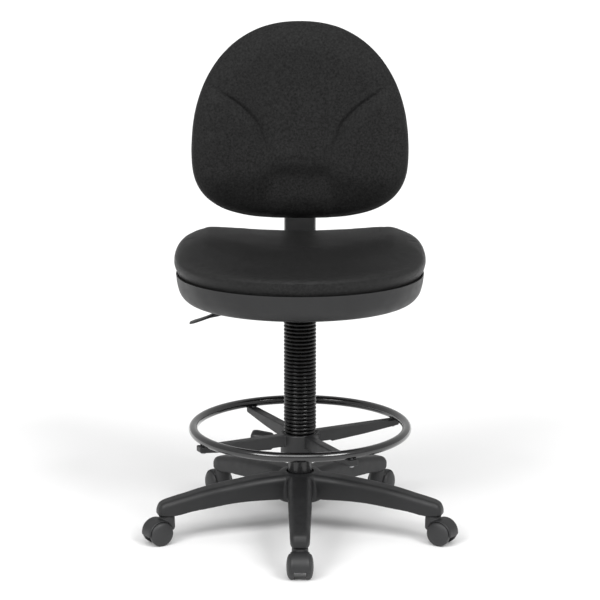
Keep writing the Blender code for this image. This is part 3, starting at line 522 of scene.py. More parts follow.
def refine(material, bevel, *nodes):
    """Stands a copy with fine rounded edges in place of each CAD node, on the same body."""
    for node in nodes:
        source = frame["nodes"][node]
        body = next(name for name, anchor in frame["bodies"].items()
                    if anchor == source.parent)
        obj = place_object(node, source.data.copy())
        modifier = obj.modifiers.new("Edges", "BEVEL")
        modifier.width = bevel
        modifier.segments = 2
        modifier.limit_method = "ANGLE"
        modifier.angle_limit = math.radians(40)
        mesh = evaluated(obj)
        bpy.data.objects.remove(obj)
        piece(f"{node}_skin", mesh, body, material, node, 40)


# ---------------------------------------------------------------- base

ARM_TOP = ((0.0, 0.1255), (0.05, 0.1245), (0.08, 0.1230), (0.158, 0.1145), (0.200, 0.1085),
           (0.223, 0.1040), (0.245, 0.0990), (0.280, 0.0915), (0.295, 0.0870), (0.303, 0.0810),
           (0.3065, 0.0730))
ARM_BOTTOM = ((0.0, 0.072), (0.073, 0.0742), (0.116, 0.0755), (0.159, 0.0737), (0.200, 0.0690),
              (0.245, 0.0635), (0.262, 0.0598), (0.3065, 0.0590))
ARM_HALF = ((0.0, 0.0275), (0.06, 0.0260), (0.175, 0.0240), (0.27, 0.0208), (0.29, 0.0200),
            (0.300, 0.0178), (0.3065, 0.0125))


def arm_section(distance):
    """Flat top strip, sloping shoulders and upright sides."""
    top = curve_value(ARM_TOP, distance)
    bottom = curve_value(ARM_BOTTOM, distance)
    half = curve_value(ARM_HALF, distance)
    drop = min(0.0085, (top - bottom) / 3)
    corners = [(-half * 0.93, bottom), (half * 0.93, bottom), (half, top - drop),
               (half * 0.66, top), (-half * 0.66, top), (-half, top - drop)]
    outline = rounded(corners, [0.003, 0.003, 0.006, 0.004, 0.004, 0.006], 4, closed=True)
    return [(distance, y, z) for y, z in outline]


def build_base():
    stations = np.concatenate([np.linspace(0.0, 0.28, 29), np.linspace(0.284, 0.3065, 10)])
    arm = skin("arm", [arm_section(station) for station in stations])
    shapes = [(arm, Matrix.Rotation(math.radians(angle), 4, "Z")) for angle in ARM_ANGLES]
    hub = lathe("hub", rounded([
        (0, 0.1262), (0.040, 0.1262), (0.0475, 0.1190), (0.0500, 0.095), (0.0485, 0.068),
        (0, 0.068)],
        [0, 0.004, 0.006, 0.005, 0.003, 0], 5), 96)
    shapes.append((hub, Matrix.Identity(4)))
    star = melt("base_star_skin", shapes, 0.0019, 10)
    cutters = [rod("bore", 0.0256, (0, 0, 0.04), (0, 0, 0.15)),
               rod("recess", 0.0290, (0, 0, 0.1215), (0, 0, 0.15), 64)]
    for angle in ARM_ANGLES:
        cutters.append(rod("socket", 0.0062, polar(STEM_CIRCLE, angle, 0.05),
                           polar(STEM_CIRCLE, angle, 0.080), 32))
    star = carve(star, cutters)
    piece("base_star_skin", star, "base", NYLON, "base_star", 50)


# ---------------------------------------------------------------- casters

def arc(radius, start, end, count):
    """Points (y, z) on a circle about the axle."""
    angles = np.radians(np.linspace(start, end, count + 1))
    return [(radius * math.cos(a), radius * math.sin(a)) for a in angles]


HOOD_HALF = 0.0190
WHEEL_GAP = 0.0018


def caster_hood():
    """A rounded fender, a middle web and a round neck, cut back around both wheels."""
    outer = WHEEL_RADIUS + 0.0038
    rows = []
    for across in np.linspace(-HOOD_HALF, HOOD_HALF, 37):
        t = np.clip((abs(across) - 0.0125) / (HOOD_HALF + 0.0005 - 0.0125), 0, 1)
        reach = outer - 0.0030 * (1 - math.sqrt(1 - t * t))
        outline = arc(reach, 50, 188, 44) + arc(WHEEL_RADIUS - 0.002, 188, 50, 44)
        rows.append([(across, y - TRAIL, z + WHEEL_RADIUS) for y, z in outline])
    web = arc(outer - 0.0008, 60, 186, 28) + [(-0.011, -0.0105), (0.0, -0.0115), (0.010, -0.008)]
    shapes = [(skin("fender", rows), Matrix.Identity(4)),
              (extruded("web", web, WHEEL_INNER - 0.0006, 0.0006, 2),
               Matrix.Translation((0, -TRAIL, WHEEL_RADIUS)))]
    neck = lathe("neck", rounded([
        (0, 0.0578), (0.0160, 0.0578), (0.0166, 0.0480), (0.0168, 0.0300), (0.0130, 0.0262),
        (0, 0.0262)],
        [0, 0.0010, 0.002, 0.004, 0.003, 0], 4), 72)
    shapes.append((neck, Matrix.Identity(4)))
    hood = melt("caster_hood", shapes, 0.00075, 6)
    cutters = [rod("stem_bore", 0.0060, (0, 0, 0.032), (0, 0, 0.07), 32),
               rod("axle_bore", 0.0034, (-0.02, -TRAIL, WHEEL_RADIUS),
                   (0.02, -TRAIL, WHEEL_RADIUS), 32)]
    for sign in (-1, 1):
        cutters.append(rod("wheel_room", WHEEL_RADIUS + WHEEL_GAP,
                           (sign * (WHEEL_INNER - 0.0006), -TRAIL, WHEEL_RADIUS),
                           (sign * 0.040, -TRAIL, WHEEL_RADIUS), 96))
    return carve(hood, cutters)


def caster_wheel():
    """A flat tread beside the web and a domed outer face."""
    width = WHEEL_OUTER + 0.0008 - WHEEL_INNER
    tread = HOOD_HALF + 0.0008 - WHEEL_INNER
    bore = 0.0035
    face = []
    for turn in np.radians(np.linspace(90, 4, 24)):
        reach = (WHEEL_RADIUS - 0.0006) * math.cos(turn)
        face.append((reach, tread + (width - tread) * math.sin(turn)))
    back = [(WHEEL_RADIUS, tread - 0.0004), (WHEEL_RADIUS, 0.0), (0.0150, 0), (0.0145, 0.0020),
            (0.0080, 0.0020), (0.0075, 0), (bore, 0), (bore, width - 0.0035), (0, width - 0.0035)]
    return lathe("caster_wheel", face + rounded(back, 0.0005, 3), 96)


def build_casters():
    hood = caster_hood()
    wheel = caster_wheel()
    stem = lathe("caster_stem", rounded([
        (0, 0.0795), (0.0044, 0.0795), (0.0055, 0.0780), (0.0055, 0.0740), (0.0050, 0.0730),
        (0.0050, 0.0700), (0.0055, 0.0690), (0.0055, 0.0325), (0, 0.0325)], 0.0004, 3), 40)
    axle = rod("caster_axle", 0.003, (-0.0218, 0, 0), (0.0218, 0, 0), 32)
    for number, (angle, heading) in enumerate(zip(ARM_ANGLES, CASTER_HEADINGS), start=1):
        stand = Matrix.Translation(polar(STEM_CIRCLE, angle))
        pivot = stand @ Matrix.Rotation(math.radians(heading + 90), 4, "Z")
        hub = pivot @ Matrix.Translation((0, -TRAIL, WHEEL_RADIUS))
        piece(f"caster_{number}_hood_skin", hood, f"caster_{number}", CASTER_NYLON,
              f"caster_{number}_hood", 50, pivot)
        piece(f"caster_{number}_axle_skin", axle, f"caster_{number}", PLATED,
              f"caster_{number}_axle", 40, hub)
        piece(f"caster_{number}_stem_skin", stem, "base", PLATED, f"caster_{number}_stem", 40,
              stand)
        for side, sign in (("left", -1), ("right", 1)):
            place = hub @ Matrix.Translation((sign * WHEEL_INNER, 0, 0))
            place = place @ Matrix.Rotation(sign * math.pi / 2, 4, "Y")
            name = f"caster_{number}_wheel_{side}"
            piece(f"{name}_skin", wheel, name, WHEEL_NYLON, name, 35, place)


# ---------------------------------------------------------------- column

def build_column():
    pitch = 0.0079
    depth = 0.0034
    root = 0.0302
    top = 0.4555
    bottom = 0.165
    steps = 12
    profile = [(0.0262, bottom), (0.0262, top), (0.0312, top)]
    ribs = int((top - bottom) / pitch)
    for number in range(ribs):
        for k in range(steps):
            phase = k / steps
            swell = math.sin(math.pi * phase) ** 0.6
            profile.append((root + depth * swell, top - (number + phase) * pitch - 0.0004))
    profile.append((root, bottom + 0.001))
    profile.append((0.0306, bottom))
    sleeve = lathe("column_sleeve", list(reversed(profile)), 72, closed=True)
    piece("column_sleeve_skin", sleeve, "base", SLEEVE_PLASTIC, "column_sleeve", 60)
    tube = rounded([(0.0250, 0.452), (0.0250, 0.045), (0.006, 0.045), (0.006, 0.048),
                    (0.0234, 0.048), (0.0234, 0.452)], 0.0006, 3, closed=True)
    piece("gas_tube_skin", lathe("gas_tube", tube, 72, closed=True), "base", COLUMN_PAINT,
          "gas_outer_tube", 40)
    cylinder = rounded([
        (0.0128, 0.4985), (0.0140, 0.4560), (0.0140, 0.0700), (0.0055, 0.0700), (0.0055, 0.0750),
        (0.0125, 0.0750), (0.0125, 0.4450), (0.0034, 0.4500), (0.0034, 0.4985)], 0.0005, 3,
        closed=True)
    piece("gas_cylinder_skin", lathe("gas_cylinder", cylinder, 64, closed=True), "seat",
          COLUMN_PAINT, "gas_cylinder", 40)
    refine(ACETAL, 0.0003, "guide_bush")
    refine(PLATED, 0.0003, "thrust_bearing", "retaining_clip", "release_pin")
    refine(CHROME, 0.0003, "piston_rod")


# ---------------------------------------------------------------- foot ring

def build_foot_ring():
    rows = []
    around = 28
    for i in range(RING_POINTS):
        angle = 360 * i / RING_POINTS
        row = []
        for k in range(around):
            turn = 2 * math.pi * k / around
            row.append(polar(RING_RADIUS + RING_TUBE * math.cos(turn), angle,
                             RING_Z + RING_TUBE * math.sin(turn)))
        rows.append(row)
    tube = skin("footring_tube", rows, loop=True)
    piece("footring_tube_skin", tube, "footring", TUBE_PAINT, "footring_tube", 60)

    hub = lathe("ring_hub", rounded([
        (0.0372, SPOKE_TOP), (0.0385, SPOKE_TOP), (0.0400, SPOKE_TOP - 0.003), (0.0402, 0.164),
        (0.0388, 0.160), (0.0372, 0.160)], [0, 0.001, 0.002, 0.002, 0.0015, 0], 4,
        closed=True), 96, closed=True)
    shapes = [(hub, Matrix.Identity(4))]
    side = rounded([(0.0385, SPOKE_TOP - 0.0002), (0.0385, 0.1850), (0.068, 0.1850),
                    (0.0712, 0.1822), (0.150, 0.1880), (0.2300, 0.1965), (0.2322, 0.1985),
                    (0.2322, SPOKE_TOP - 0.0002)], 0.0012, 3, closed=True)
    spoke = extruded("spoke", side, 0.0100, 0.0016, 3)
    for angle in SPOKE_ANGLES:
        shapes.append((spoke, Matrix.Rotation(math.radians(angle - 90), 4, "Z")))
    boss = lathe("boss", rounded([
        (0, 0.0443), (0.0080, 0.0443), (0.0095, 0.0375), (0, 0.0375)], 0.0006), 32)
    turn = Matrix.Translation((0, 0, KNOB_Z)) @ Matrix.Rotation(math.radians(KNOB_ANGLE), 4, "Z")
    turn = turn @ Matrix.Rotation(math.pi / 2, 4, "Y")
    shapes.append((boss, turn))
    body = melt("footring_hub", shapes, 0.0011, 4)
    cutters = []
    for angle in SPOKE_ANGLES:
        spot = polar(RING_RADIUS, angle)
        cutters.append(rod("bolt_seat", 0.0068, spot + Vector((0, 0, 0.18)),
                           spot + Vector((0, 0, 0.1968)), 32))
    body = carve(body, cutters)
    piece("footring_hub_skin", body, "footring", HUB_PLASTIC, "footring_hub", 50)

    head = [(0, 0.2160), (0.0030, 0.2160), (0.0030, 0.1965), (0.0056, 0.1965), (0.0056, 0.1940),
            (0.0045, 0.1930), (0.0026, 0.1930), (0.0026, 0.1945), (0, 0.1945)]
    shank_limit = 0.005
    bolt = lathe("footring_bolt", rounded(head, 0.0003, 2), 48,
                 shape=lambda angle, radius, height:
                 radius * hexagon(angle) if radius > shank_limit else radius)
    for number, angle in enumerate(SPOKE_ANGLES, start=1):
        name = f"footring_bolt_{number}"
        piece(f"{name}_skin", bolt, "footring", PLATED, name, 30,
              Matrix.Translation(polar(RING_RADIUS, angle)))
    knob = lathe("footring_knob", rounded([
        (0, 0.1046), (0.0120, 0.1052), (0.0160, 0.1030), (0.0172, 0.0960), (0.0168, 0.0890),
        (0.0150, 0.0740), (0.0136, 0.0620), (0.0085, 0.0600), (0.0082, 0.0445), (0.0035, 0.0445),
        (0.0035, 0.0372), (0, 0.0372)],
        [0, 0.002, 0.002, 0.003, 0.004, 0.006, 0.0015, 0.001, 0.0005, 0.0003, 0.0003, 0], 5), 96,
        shape=lambda angle, radius, height: radius * lobes(angle, height, 0.072, 0.082))
    piece("footring_knob_skin", knob, "footring_knob", KNOB_PLASTIC, "footring_knob", 40,
          turn)
    outline = [(0.0365, 0.2088), (0.0365, 0.1620), (0.0347, 0.1620), (0.0347, 0.2088)]
    bush = lathe("footring_bush", rounded(outline, 0.0004, 2, closed=True), 72, closed=True)
    piece("footring_bush_skin", bush, "footring_slider", KNOB_PLASTIC, "footring_bush", 40)


def hexagon(angle):
    """A hexagon's reach along an angle, as a share of its corner's."""
    turn = angle % (math.pi / 3) - math.pi / 6
    return math.cos(math.pi / 6) / math.cos(turn)


def lobes(angle, height, start, end):
    """Finger grooves that fade in along the knob's head."""
    depth = 0.055 * float(smoothstep(start, end, np.array(height)))
    return 1 - depth * (0.5 - 0.5 * math.cos(6 * angle))


# ---------------------------------------------------------------- seat

CUSHION_PROUD = 0.0024
CROWN_BASE = 0.5730
WALL_INSET = 0.0066


def seat_ring(inset, z):
    """The seat's outline, drawn in by an inset, at one height."""
    x, y = superellipse(SEAT_HALF_WIDTH, SEAT_REAR, SEAT_FRONT, SEAT_REAR_POWER,
                        SEAT_FRONT_POWER, inset)
    return np.column_stack([x, y, np.full(RING_POINTS, z)])


def seat_shell_mesh():
    """The lower shell, open at the top, with room for the mechanism, bar and lever."""
    outer = rounded([(0.0024, SEAM_Z), (0.0028, 0.5440), (0.0042, 0.5300), (0.0095, 0.5090),
                     (0.0228, 0.4945), (0.0450, SHELL_BOTTOM), (0.1200, SHELL_BOTTOM)],
                    [0, 0.001, 0.012, 0.012, 0.014, 0.012, 0], 6)
    wall = 0.0030
    inner = [(inset + wall * (0.98 if z > 0.51 else 0.7), z + (0.0 if z > 0.53 else wall * 0.8))
             for inset, z in reversed(outer)]
    inner[-1] = (wall + 0.0024, SEAM_Z)
    rows = [seat_ring(inset, z) for inset, z in outer + inner]
    cutters = [block("mechanism_opening", (-0.105, -0.095, 0.47), (0.105, 0.115, 0.51), 0.006),
               block("bar_opening", (-0.036, 0.08, 0.47), (0.036, 0.1505, 0.51), 0.004),
               block("lever_opening", (-0.134, -0.012, 0.47), (-0.08, 0.012, 0.51), 0.004)]
    return carve(skin("seat_shell", rows, loop=True), cutters)


def seat_height(x, y, edge, inset):
    """The cushion's upper face above CROWN_BASE: dished, bolstered and rolled at the front."""
    front = smoothstep(-0.03, -0.17, y)
    side = np.clip(np.abs(x) / 0.19, 0, 1.0) ** 2
    crown = 0.0235 + 0.0220 * side * smoothstep(-0.20, 0.06, y)
    crown = crown - 0.0130 * smoothstep(0.02, -0.215, y)
    tight = min(max((inset + CUSHION_PROUD) / 0.017, 0.0), 1.0)
    lip_height = 0.0092
    lip = lip_height * (1 - (1 - tight) ** 2) ** 0.5
    gentle = lip + (crown - lip_height) * smoothstep(0.010, 0.120, inset)
    return crown * edge * (1 - front) + gentle * front


def bulge(reach):
    """A soft quarter-round from 0 to 1."""
    reach = np.clip(reach, 0, 1)
    return (1 - (1 - reach) ** 2.2) ** (1 / 2.2)


def cushion_rows():
    """Closed rows from the board up over the crown."""
    low = 0.5325
    rows = [seat_ring(0.012, low), seat_ring(0.0072, low + 0.004), seat_ring(0.0070, SEAM_Z)]
    for inset, z in ((0.0062, 0.5500), (0.0050, 0.5515), (0.0034, 0.5545), (0.0016, 0.5585),
                     (-0.0002, 0.5630), (-0.0016, 0.5680), (-CUSHION_PROUD, CROWN_BASE)):
        rows.append(seat_ring(inset, z))
    for share in np.linspace(0.0, 1.0, 46)[1:]:
        inset = 0.205 * share ** 1.6 - CUSHION_PROUD
        edge = bulge((inset + CUSHION_PROUD) / 0.050)
        ring = seat_ring(inset, 0.0)
        ring[:, 2] = CROWN_BASE + seat_height(ring[:, 0], ring[:, 1], edge, inset)
        rows.append(ring)
    return rows


PAD_PRESSURE = 4.0
PAD_TRAVEL = 0.0015
PAD_FRAMES = 20


def inflate(mesh, voxel):
    """Remeshes a pad, lets cloth pressure tighten its skin and caps how far a point may move."""
    obj = place_object("pad", mesh)
    add_remesh(obj, voxel)
    even = evaluated(obj)
    bpy.data.objects.remove(obj)
    before = coordinates(even)
    pad = place_object("pad", even.copy())
    cloth = pad.modifiers.new("Cloth", "CLOTH")
    settings = cloth.settings
    settings.quality = 5
    settings.mass = 0.3
    settings.tension_stiffness = 40
    settings.compression_stiffness = 40
    settings.shear_stiffness = 20
    settings.bending_stiffness = 2.0
    settings.use_pressure = True
    settings.uniform_pressure_force = PAD_PRESSURE
    settings.effector_weights.gravity = 0.0
    scene = bpy.context.scene
    start = scene.frame_current
    for number in range(1, PAD_FRAMES + 1):
        scene.frame_set(number)
    result = evaluated(pad)
    scene.frame_set(start)
    bpy.data.objects.remove(pad)
    move = coordinates(result) - before
    length = np.linalg.norm(move, axis=1, keepdims=True)
    move *= np.minimum(1.0, PAD_TRAVEL / np.maximum(length, 1e-9))
    store(result, before + move)
    return result


def coordinates(mesh):
    """The mesh's points as rows of x, y and z."""
    values = np.empty(len(mesh.vertices) * 3)
    mesh.vertices.foreach_get("co", values)
    return values.reshape(-1, 3)


def store(mesh, points):
    mesh.vertices.foreach_set("co", points.reshape(-1))
    mesh.update()


def subdivide(mesh):
    obj = place_object("subdivided", mesh)
    modifier = obj.modifiers.new("Subdivision", "SUBSURF")
    modifier.levels = 1
    result = evaluated(obj)
    bpy.data.objects.remove(obj)
    return result


RIPPLE_SCALE = 22.0
RIPPLE_HEIGHT = 0.0005


def ripple(points, seed):
    """The smooth small unevenness of hand-pulled cloth at each point."""
    shift = Vector((seed, seed * 2, seed * 3))
    values = [noise.noise(Vector(point) * RIPPLE_SCALE + shift) for point in points]
    return RIPPLE_HEIGHT * np.array(values)


def build_seat():
    piece("seat_shell_skin", seat_shell_mesh(), "seat", SHELL_PLASTIC, "seat_shell", 40)
    pad = inflate(skin("seat_pad", cushion_rows()), 0.0045)
    store(pad, keep_inside_shell(coordinates(pad)))
    pad = subdivide(pad)
    points = coordinates(pad)
    above = smoothstep(SEAM_Z + 0.004, SEAM_Z + 0.03, points[:, 2])
    points[:, 2] += ripple(points, 3.0) * above
    store(pad, points)
    cushion = piece("seat_cushion_skin", pad, "seat", SEAT_CLOTH, "seat_cushion", 0)
    refine(WOOD, 0.0006, "seat_board")
    refine(FRAME_PAINT, 0.0006, "seat_mechanism")
    refine(PLATED, 0.0004, *(f"seat_bolt_{number}" for number in range(1, 5)))


def keep_inside_shell(points):
    """Stops the pad's lower part from reaching the shell's wall or the board."""
    low = points[:, 2] < SEAM_Z + 0.0006
    x = points[:, 0]
    y = points[:, 1]
    along = np.where(y >= 0, SEAT_REAR - WALL_INSET, SEAT_FRONT - WALL_INSET)
    power = np.where(y >= 0, SEAT_REAR_POWER, SEAT_FRONT_POWER)
    reach = (np.abs(x) / (SEAT_HALF_WIDTH - WALL_INSET)) ** power + (np.abs(y) / along) ** power
    scale = np.where(low & (reach > 1), reach ** (-1 / power), 1.0)
    points[:, 0] *= scale
    points[:, 1] *= scale
    points[:, 2] = np.maximum(points[:, 2], 0.5323)
    return points


# ---------------------------------------------------------------- lever

def build_lever():
    path = [(0.004, 0, 0.5073), (-0.030, 0, 0.5055), (-0.060, 0, 0.5000), (-0.105, 0, 0.4815),
            (-0.132, 0, 0.4725), (-0.170, 0, 0.4610)]
    curve = bpy.data.curves.new("lever_rod", "CURVE")
    curve.dimensions = "3D"
    curve.bevel_depth = 0.0036
    curve.bevel_resolution = 6
    curve.use_fill_caps = True
    spline = curve.splines.new("POLY")
    spline.points.add(len(path) - 1)
    for point, spot in zip(spline.points, path):
        point.co = (*spot, 1.0)
    obj = place_object("lever_rod", curve)
    mesh = evaluated(obj)
    bpy.data.objects.remove(obj)
    piece("lever_rod_skin", mesh, "height_lever", PLATED, "lever_rod", 40)
    tip = -0.2262
    root = -0.142
    heights = ((tip, 0.4412), (-0.205, 0.4478), (-0.180, 0.4570), (-0.165, 0.4628),
               (root, 0.4705))
    widths = ((tip, 0.0105), (-0.220, 0.0140), (-0.205, 0.0142), (-0.180, 0.0112),
              (-0.165, 0.0084), (root, 0.0066))
    depths = ((tip, 0.0014), (-0.220, 0.0019), (-0.205, 0.0021), (-0.184, 0.0030),
              (-0.168, 0.0066), (root, 0.0066))
    around = 40
    rows = []
    for x in np.linspace(tip, root, 48):
        z, half, deep = (float(curve_value(table, x)) for table in (heights, widths, depths))
        row = []
        for i in range(around):
            turn = 2 * math.pi * i / around
            c = math.cos(turn)
            s = math.sin(turn)
            row.append((x, half * math.copysign(abs(c) ** 0.8, c),
                        z + deep * math.copysign(abs(s) ** 0.8, s)))
        rows.append(row)
    piece("lever_handle_skin", skin("lever_handle", rows), "height_lever", KNOB_PLASTIC,
          "lever_handle", 50)


# ---------------------------------------------------------------- back

# The two creases that run up and outwards: height and distance from the middle
CREASE = ((0.660, 0.056), (0.724, 0.060), (0.760, 0.067), (0.798, 0.078), (0.837, 0.096),
          (0.868, 0.126), (0.905, 0.178), (0.930, 0.220))


def bow(x):
    """How far the back curves forwards, away from its middle."""
    return BACK_BOW * (x / BACK_HALF_WIDTH) ** 2


def seam_y(x):
    """Where the cushion meets the shell."""
    return BACK_Y - bow(x)


def back_ring(inset, offset, flat=None):
    """The back's outline, drawn in by an inset; flat puts all of it at one depth."""
    x, z = superellipse(BACK_HALF_WIDTH, BACK_UP, BACK_DOWN, BACK_UP_POWER, BACK_DOWN_POWER,
                        inset)
    y = np.full(RING_POINTS, flat) if flat is not None else seam_y(x) + offset
    return np.column_stack([x, y, BACK_CENTRE_Z + z])


def back_sculpt(points):
    """Moves the front face: wings, lumbar roll, the two creases and the lower panel."""
    x = points[:, 0]
    z = points[:, 2]
    front = smoothstep(0.215, 0.190, points[:, 1] + bow(x))
    ax = np.abs(x)
    crease_x = curve_value(CREASE, z)
    along = smoothstep(0.735, 0.810, z) * smoothstep(0.925, 0.870, z)
    above = 0.62 + 0.38 * smoothstep(0.635, 0.700, z)
    groove = np.exp(-((ax - crease_x) / 0.0070) ** 2)
    wing = smoothstep(0.0, 0.036, ax - crease_x) * smoothstep(0.95, 0.87, z)
    wing = wing * smoothstep(0.62, 0.72, z)
    lumbar = np.exp(-((z - 0.752) / 0.036) ** 2) * smoothstep(0.11, 0.04, ax)
    step = smoothstep(0.750, 0.714, z) * smoothstep(0.072, 0.050, ax)
    lobe = smoothstep(0.052, 0.072, ax) * smoothstep(0.735, 0.650, z)
    lobe = lobe * smoothstep(0.21, 0.13, ax) * above
    move = -0.0095 * wing + 0.0055 * groove * along - 0.0060 * lumbar
    move = move + 0.0060 * step + 0.0150 * lobe
    points[:, 1] += front * move
    return points


def build_back():
    rows = [back_ring(0.045, 0.0, flat=BACK_Y + 0.0015), back_ring(0.014, 0.0),
            back_ring(0.004, -0.0006), back_ring(0.0006, -0.0050)]
    for share in np.linspace(0.0, 1.0, 50):
        inset = 0.140 * share ** 1.7
        edge = bulge((inset + 0.0003) / 0.062)
        rows.append(back_ring(inset, -(0.008 + 0.048 * edge)))
    pad = subdivide(inflate(skin("back_pad", rows), 0.0042))
    points = back_sculpt(coordinates(pad))
    points[:, 1] += ripple(points, 9.0) * smoothstep(0.215, 0.19, points[:, 1])
    rearmost = np.maximum(seam_y(points[:, 0]) + 0.0012, BACK_Y + 0.0016)
    points[:, 1] = np.minimum(points[:, 1], rearmost)
    store(pad, points)
    cushion = piece("back_cushion_skin", pad, "back", BACK_CLOTH, "back_cushion", 0)
    build_back_shell()
    build_back_hardware()


def shell_dome(inset, depth):
    """Rows that close the shell's middle with a shallow dome."""
    ring = back_ring(inset, depth)
    centre = ring.mean(axis=0)
    rows = []
    for scale in (0.85, 0.7, 0.5, 0.3, 0.1, 0.02):
        row = centre + (ring - centre) * scale
        row[:, 1] = seam_y(row[:, 0]) + depth + 0.0035 * (1 - scale ** 2)
        rows.append(row)
    return rows


def build_back_shell():
    dome_inset = 0.1200
    dome_depth = 0.0580
    outer = rounded([(0.0040, 0.0012), (0.0046, 0.0050), (0.0080, 0.0140), (0.0150, 0.0250),
                     (0.0280, 0.0355), (0.0500, 0.0450), (0.0800, 0.0525),
                     (dome_inset, dome_depth)],
                    [0, 0.002, 0.008, 0.01, 0.012, 0.016, 0.02, 0], 6)
    wall = 0.0024
    rows = list(reversed(shell_dome(dome_inset, dome_depth)))
    rows += [back_ring(inset, offset) for inset, offset in reversed(outer)]
    rows += [back_ring(inset + wall, max(offset - wall, 0.0012)) for inset, offset in outer]
    rows += shell_dome(dome_inset + wall, dome_depth - wall)
    shell = carve(skin("back_shell", rows), [
        block("post_opening", (-0.037, 0.2395, 0.60), (0.037, 0.2730, 0.70), 0.003),
        rod("knob_opening", 0.0085, (0, 0.25, BACK_KNOB_Z), (0, 0.31, BACK_KNOB_Z))])
    piece("back_shell_skin", shell, "back", SHELL_PLASTIC, "back_shell", 40)


def build_back_hardware():
    refine(WOOD, 0.0006, "back_board")
    refine(FRAME_PAINT, 0.0006, "back_bracket")
    front_end = 0.040
    upper_end = 0.845
    bend = 0.050

    def corner(radius, angles):
        return [(BAR_Y - bend + radius * math.sin(a), BAR_Z + bend - radius * math.cos(a))
                for a in angles]

    half = BAR_HALF_THICK
    turn = np.radians(np.linspace(0, 90, 19))
    outline = [(front_end, BAR_Z + half), (front_end, BAR_Z - half)]
    outline += corner(bend + half, turn)
    outline += [(BAR_Y + half, upper_end), (BAR_Y - half, upper_end)]
    outline += corner(bend - half, reversed(turn))
    bar = extruded("j_bar", outline, BAR_HALF_WIDTH, 0.0010, 2)
    piece("j_bar_skin", bar, "back_post", FRAME_PAINT, "j_bar", 40)
    half_x = 0.034
    half_y = 0.012
    section = rounded([(-half_x, -half_y), (half_x, -half_y), (half_x, half_y),
                       (-half_x, half_y)], 0.009, 8, closed=True)
    rows = []
    for z, inset in ((0.5300, 0.0012), (0.5312, 0.0002), (0.5330, 0.0), (0.6970, 0.0),
                     (0.6990, 0.0004), (0.7000, 0.0012)):
        scale_x = 1 - inset / half_x
        scale_y = 1 - inset / half_y
        rows.append([(x * scale_x, BAR_Y + y * scale_y, z) for x, y in section])
    slot_x = BAR_HALF_WIDTH + COVER_PLAY
    slot_y = BAR_HALF_THICK + COVER_PLAY
    cover = carve(skin("j_bar_cover", rows), [
        block("slot", (-slot_x, BAR_Y - slot_y, 0.52), (slot_x, BAR_Y + slot_y, 0.71))])
    piece("j_bar_cover_skin", cover, "back_post", COVER_PLASTIC, "j_bar_cover", 40)
    reach = 0.3368
    stud = BAR_Y + 0.0035
    knob = lathe("back_height_knob", rounded([
        (0, reach - 0.0012), (0.0150, reach), (0.0195, reach - 0.003), (0.0200, reach - 0.012),
        (0.0195, reach - 0.025), (0.0140, reach - 0.033), (0.0078, reach - 0.043), (0.0078, 0.270),
        (0.0039, 0.270), (0.0039, stud), (0, stud)],
        [0, 0.003, 0.003, 0.004, 0.005, 0.006, 0.003, 0.0005, 0.0003, 0.0003, 0], 5), 96,
        shape=lambda angle, radius, height:
        radius * lobes(angle, height, reach - 0.034, reach - 0.026))
    place = Matrix.Translation((0, 0, BACK_KNOB_Z)) @ Matrix.Rotation(-math.pi / 2, 4, "X")
    piece("back_height_knob_skin", knob, "back_height_knob", KNOB_PLASTIC, "back_height_knob", 40,
          place)
    knob = lathe("back_depth_knob", rounded([
        (0, 0.468), (0.0038, 0.468), (0.0038, 0.4610), (0.010, 0.4610), (0.0160, 0.4520),
        (0.0162, 0.4420), (0.0130, 0.4370), (0, 0.4376)],
        [0, 0.0003, 0.0003, 0.002, 0.004, 0.003, 0.002, 0], 5), 96,
        shape=lambda angle, radius, height: radius * lobes(angle, -height, -0.456, -0.450))
    piece("back_depth_knob_skin", knob, "back_depth_knob", KNOB_PLASTIC, "back_depth_knob", 40,
          Matrix.Translation((0, 0.125, 0)))


# ---------------------------------------------------------------- studio

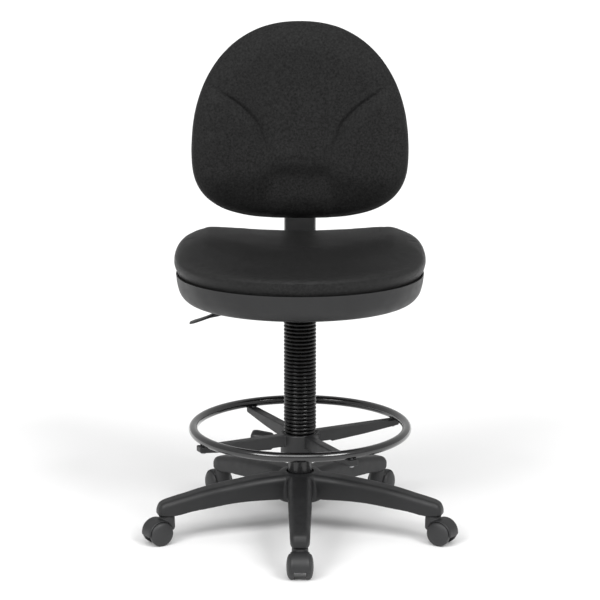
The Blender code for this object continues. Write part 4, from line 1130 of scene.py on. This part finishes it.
def soft_sun(name, azimuth, elevation, strength, spread):
    """A distant softbox; azimuth turns from the chair's front to the sitter's right."""
    light = bpy.data.lights.new(name, "SUN")
    light.energy = strength
    light.angle = math.radians(spread)
    obj = place_object(name, light)
    obj.rotation_euler = (math.radians(90 - elevation), 0, math.radians(-azimuth))


def build_studio():
    """A plain pale floor under an even white sky and three soft lights."""
    bm = bmesh.new()
    bmesh.ops.create_grid(bm, x_segments=1, y_segments=1, size=30.0)
    floor = place_object("floor", finished("floor", bm))
    nodes = Nodes("floor_white")
    nodes.set("Base Color", (0.86, 0.86, 0.86, 1.0))
    nodes.set("Roughness", 0.9)
    nodes.set("Specular IOR Level", 0.1)
    floor.data.materials.append(nodes.material)
    world = bpy.context.scene.world or bpy.data.worlds.new("studio")
    bpy.context.scene.world = world
    world.use_nodes = True
    tree = world.node_tree
    backdrop = tree.nodes["Background"]
    backdrop.inputs["Color"].default_value = (1.0, 1.0, 1.0, 1.0)
    # The sky lights the chair less than it shows behind it
    seen = tree.nodes.new("ShaderNodeLightPath")
    strength = tree.nodes.new("ShaderNodeMapRange")
    strength.inputs["To Min"].default_value = 0.55
    strength.inputs["To Max"].default_value = 1.05
    tree.links.new(seen.outputs["Is Camera Ray"], strength.inputs["Value"])
    tree.links.new(strength.outputs["Result"], backdrop.inputs["Strength"])
    bpy.context.scene.view_settings.view_transform = "Standard"
    soft_sun("key_left", -42, 42, 1.5, 22)
    soft_sun("key_right", 40, 40, 1.4, 24)
    soft_sun("front", 3, 55, 0.9, 34)


def build_camera():
    """The photograph's viewpoint: straight in front, looking slightly down."""
    camera = bpy.data.cameras.new("camera")
    camera.lens = 128.04
    camera.sensor_width = 36.0
    camera.clip_end = 60.0
    obj = place_object("camera", camera)
    obj.location = (0.0, -4.263, 1.429)
    obj.rotation_euler = (math.radians(77.568), 0, 0)
    bpy.context.scene.camera = obj


build_camera()
build_studio()
build_base()
build_casters()
build_column()
build_foot_ring()
build_seat()
build_lever()
build_back()
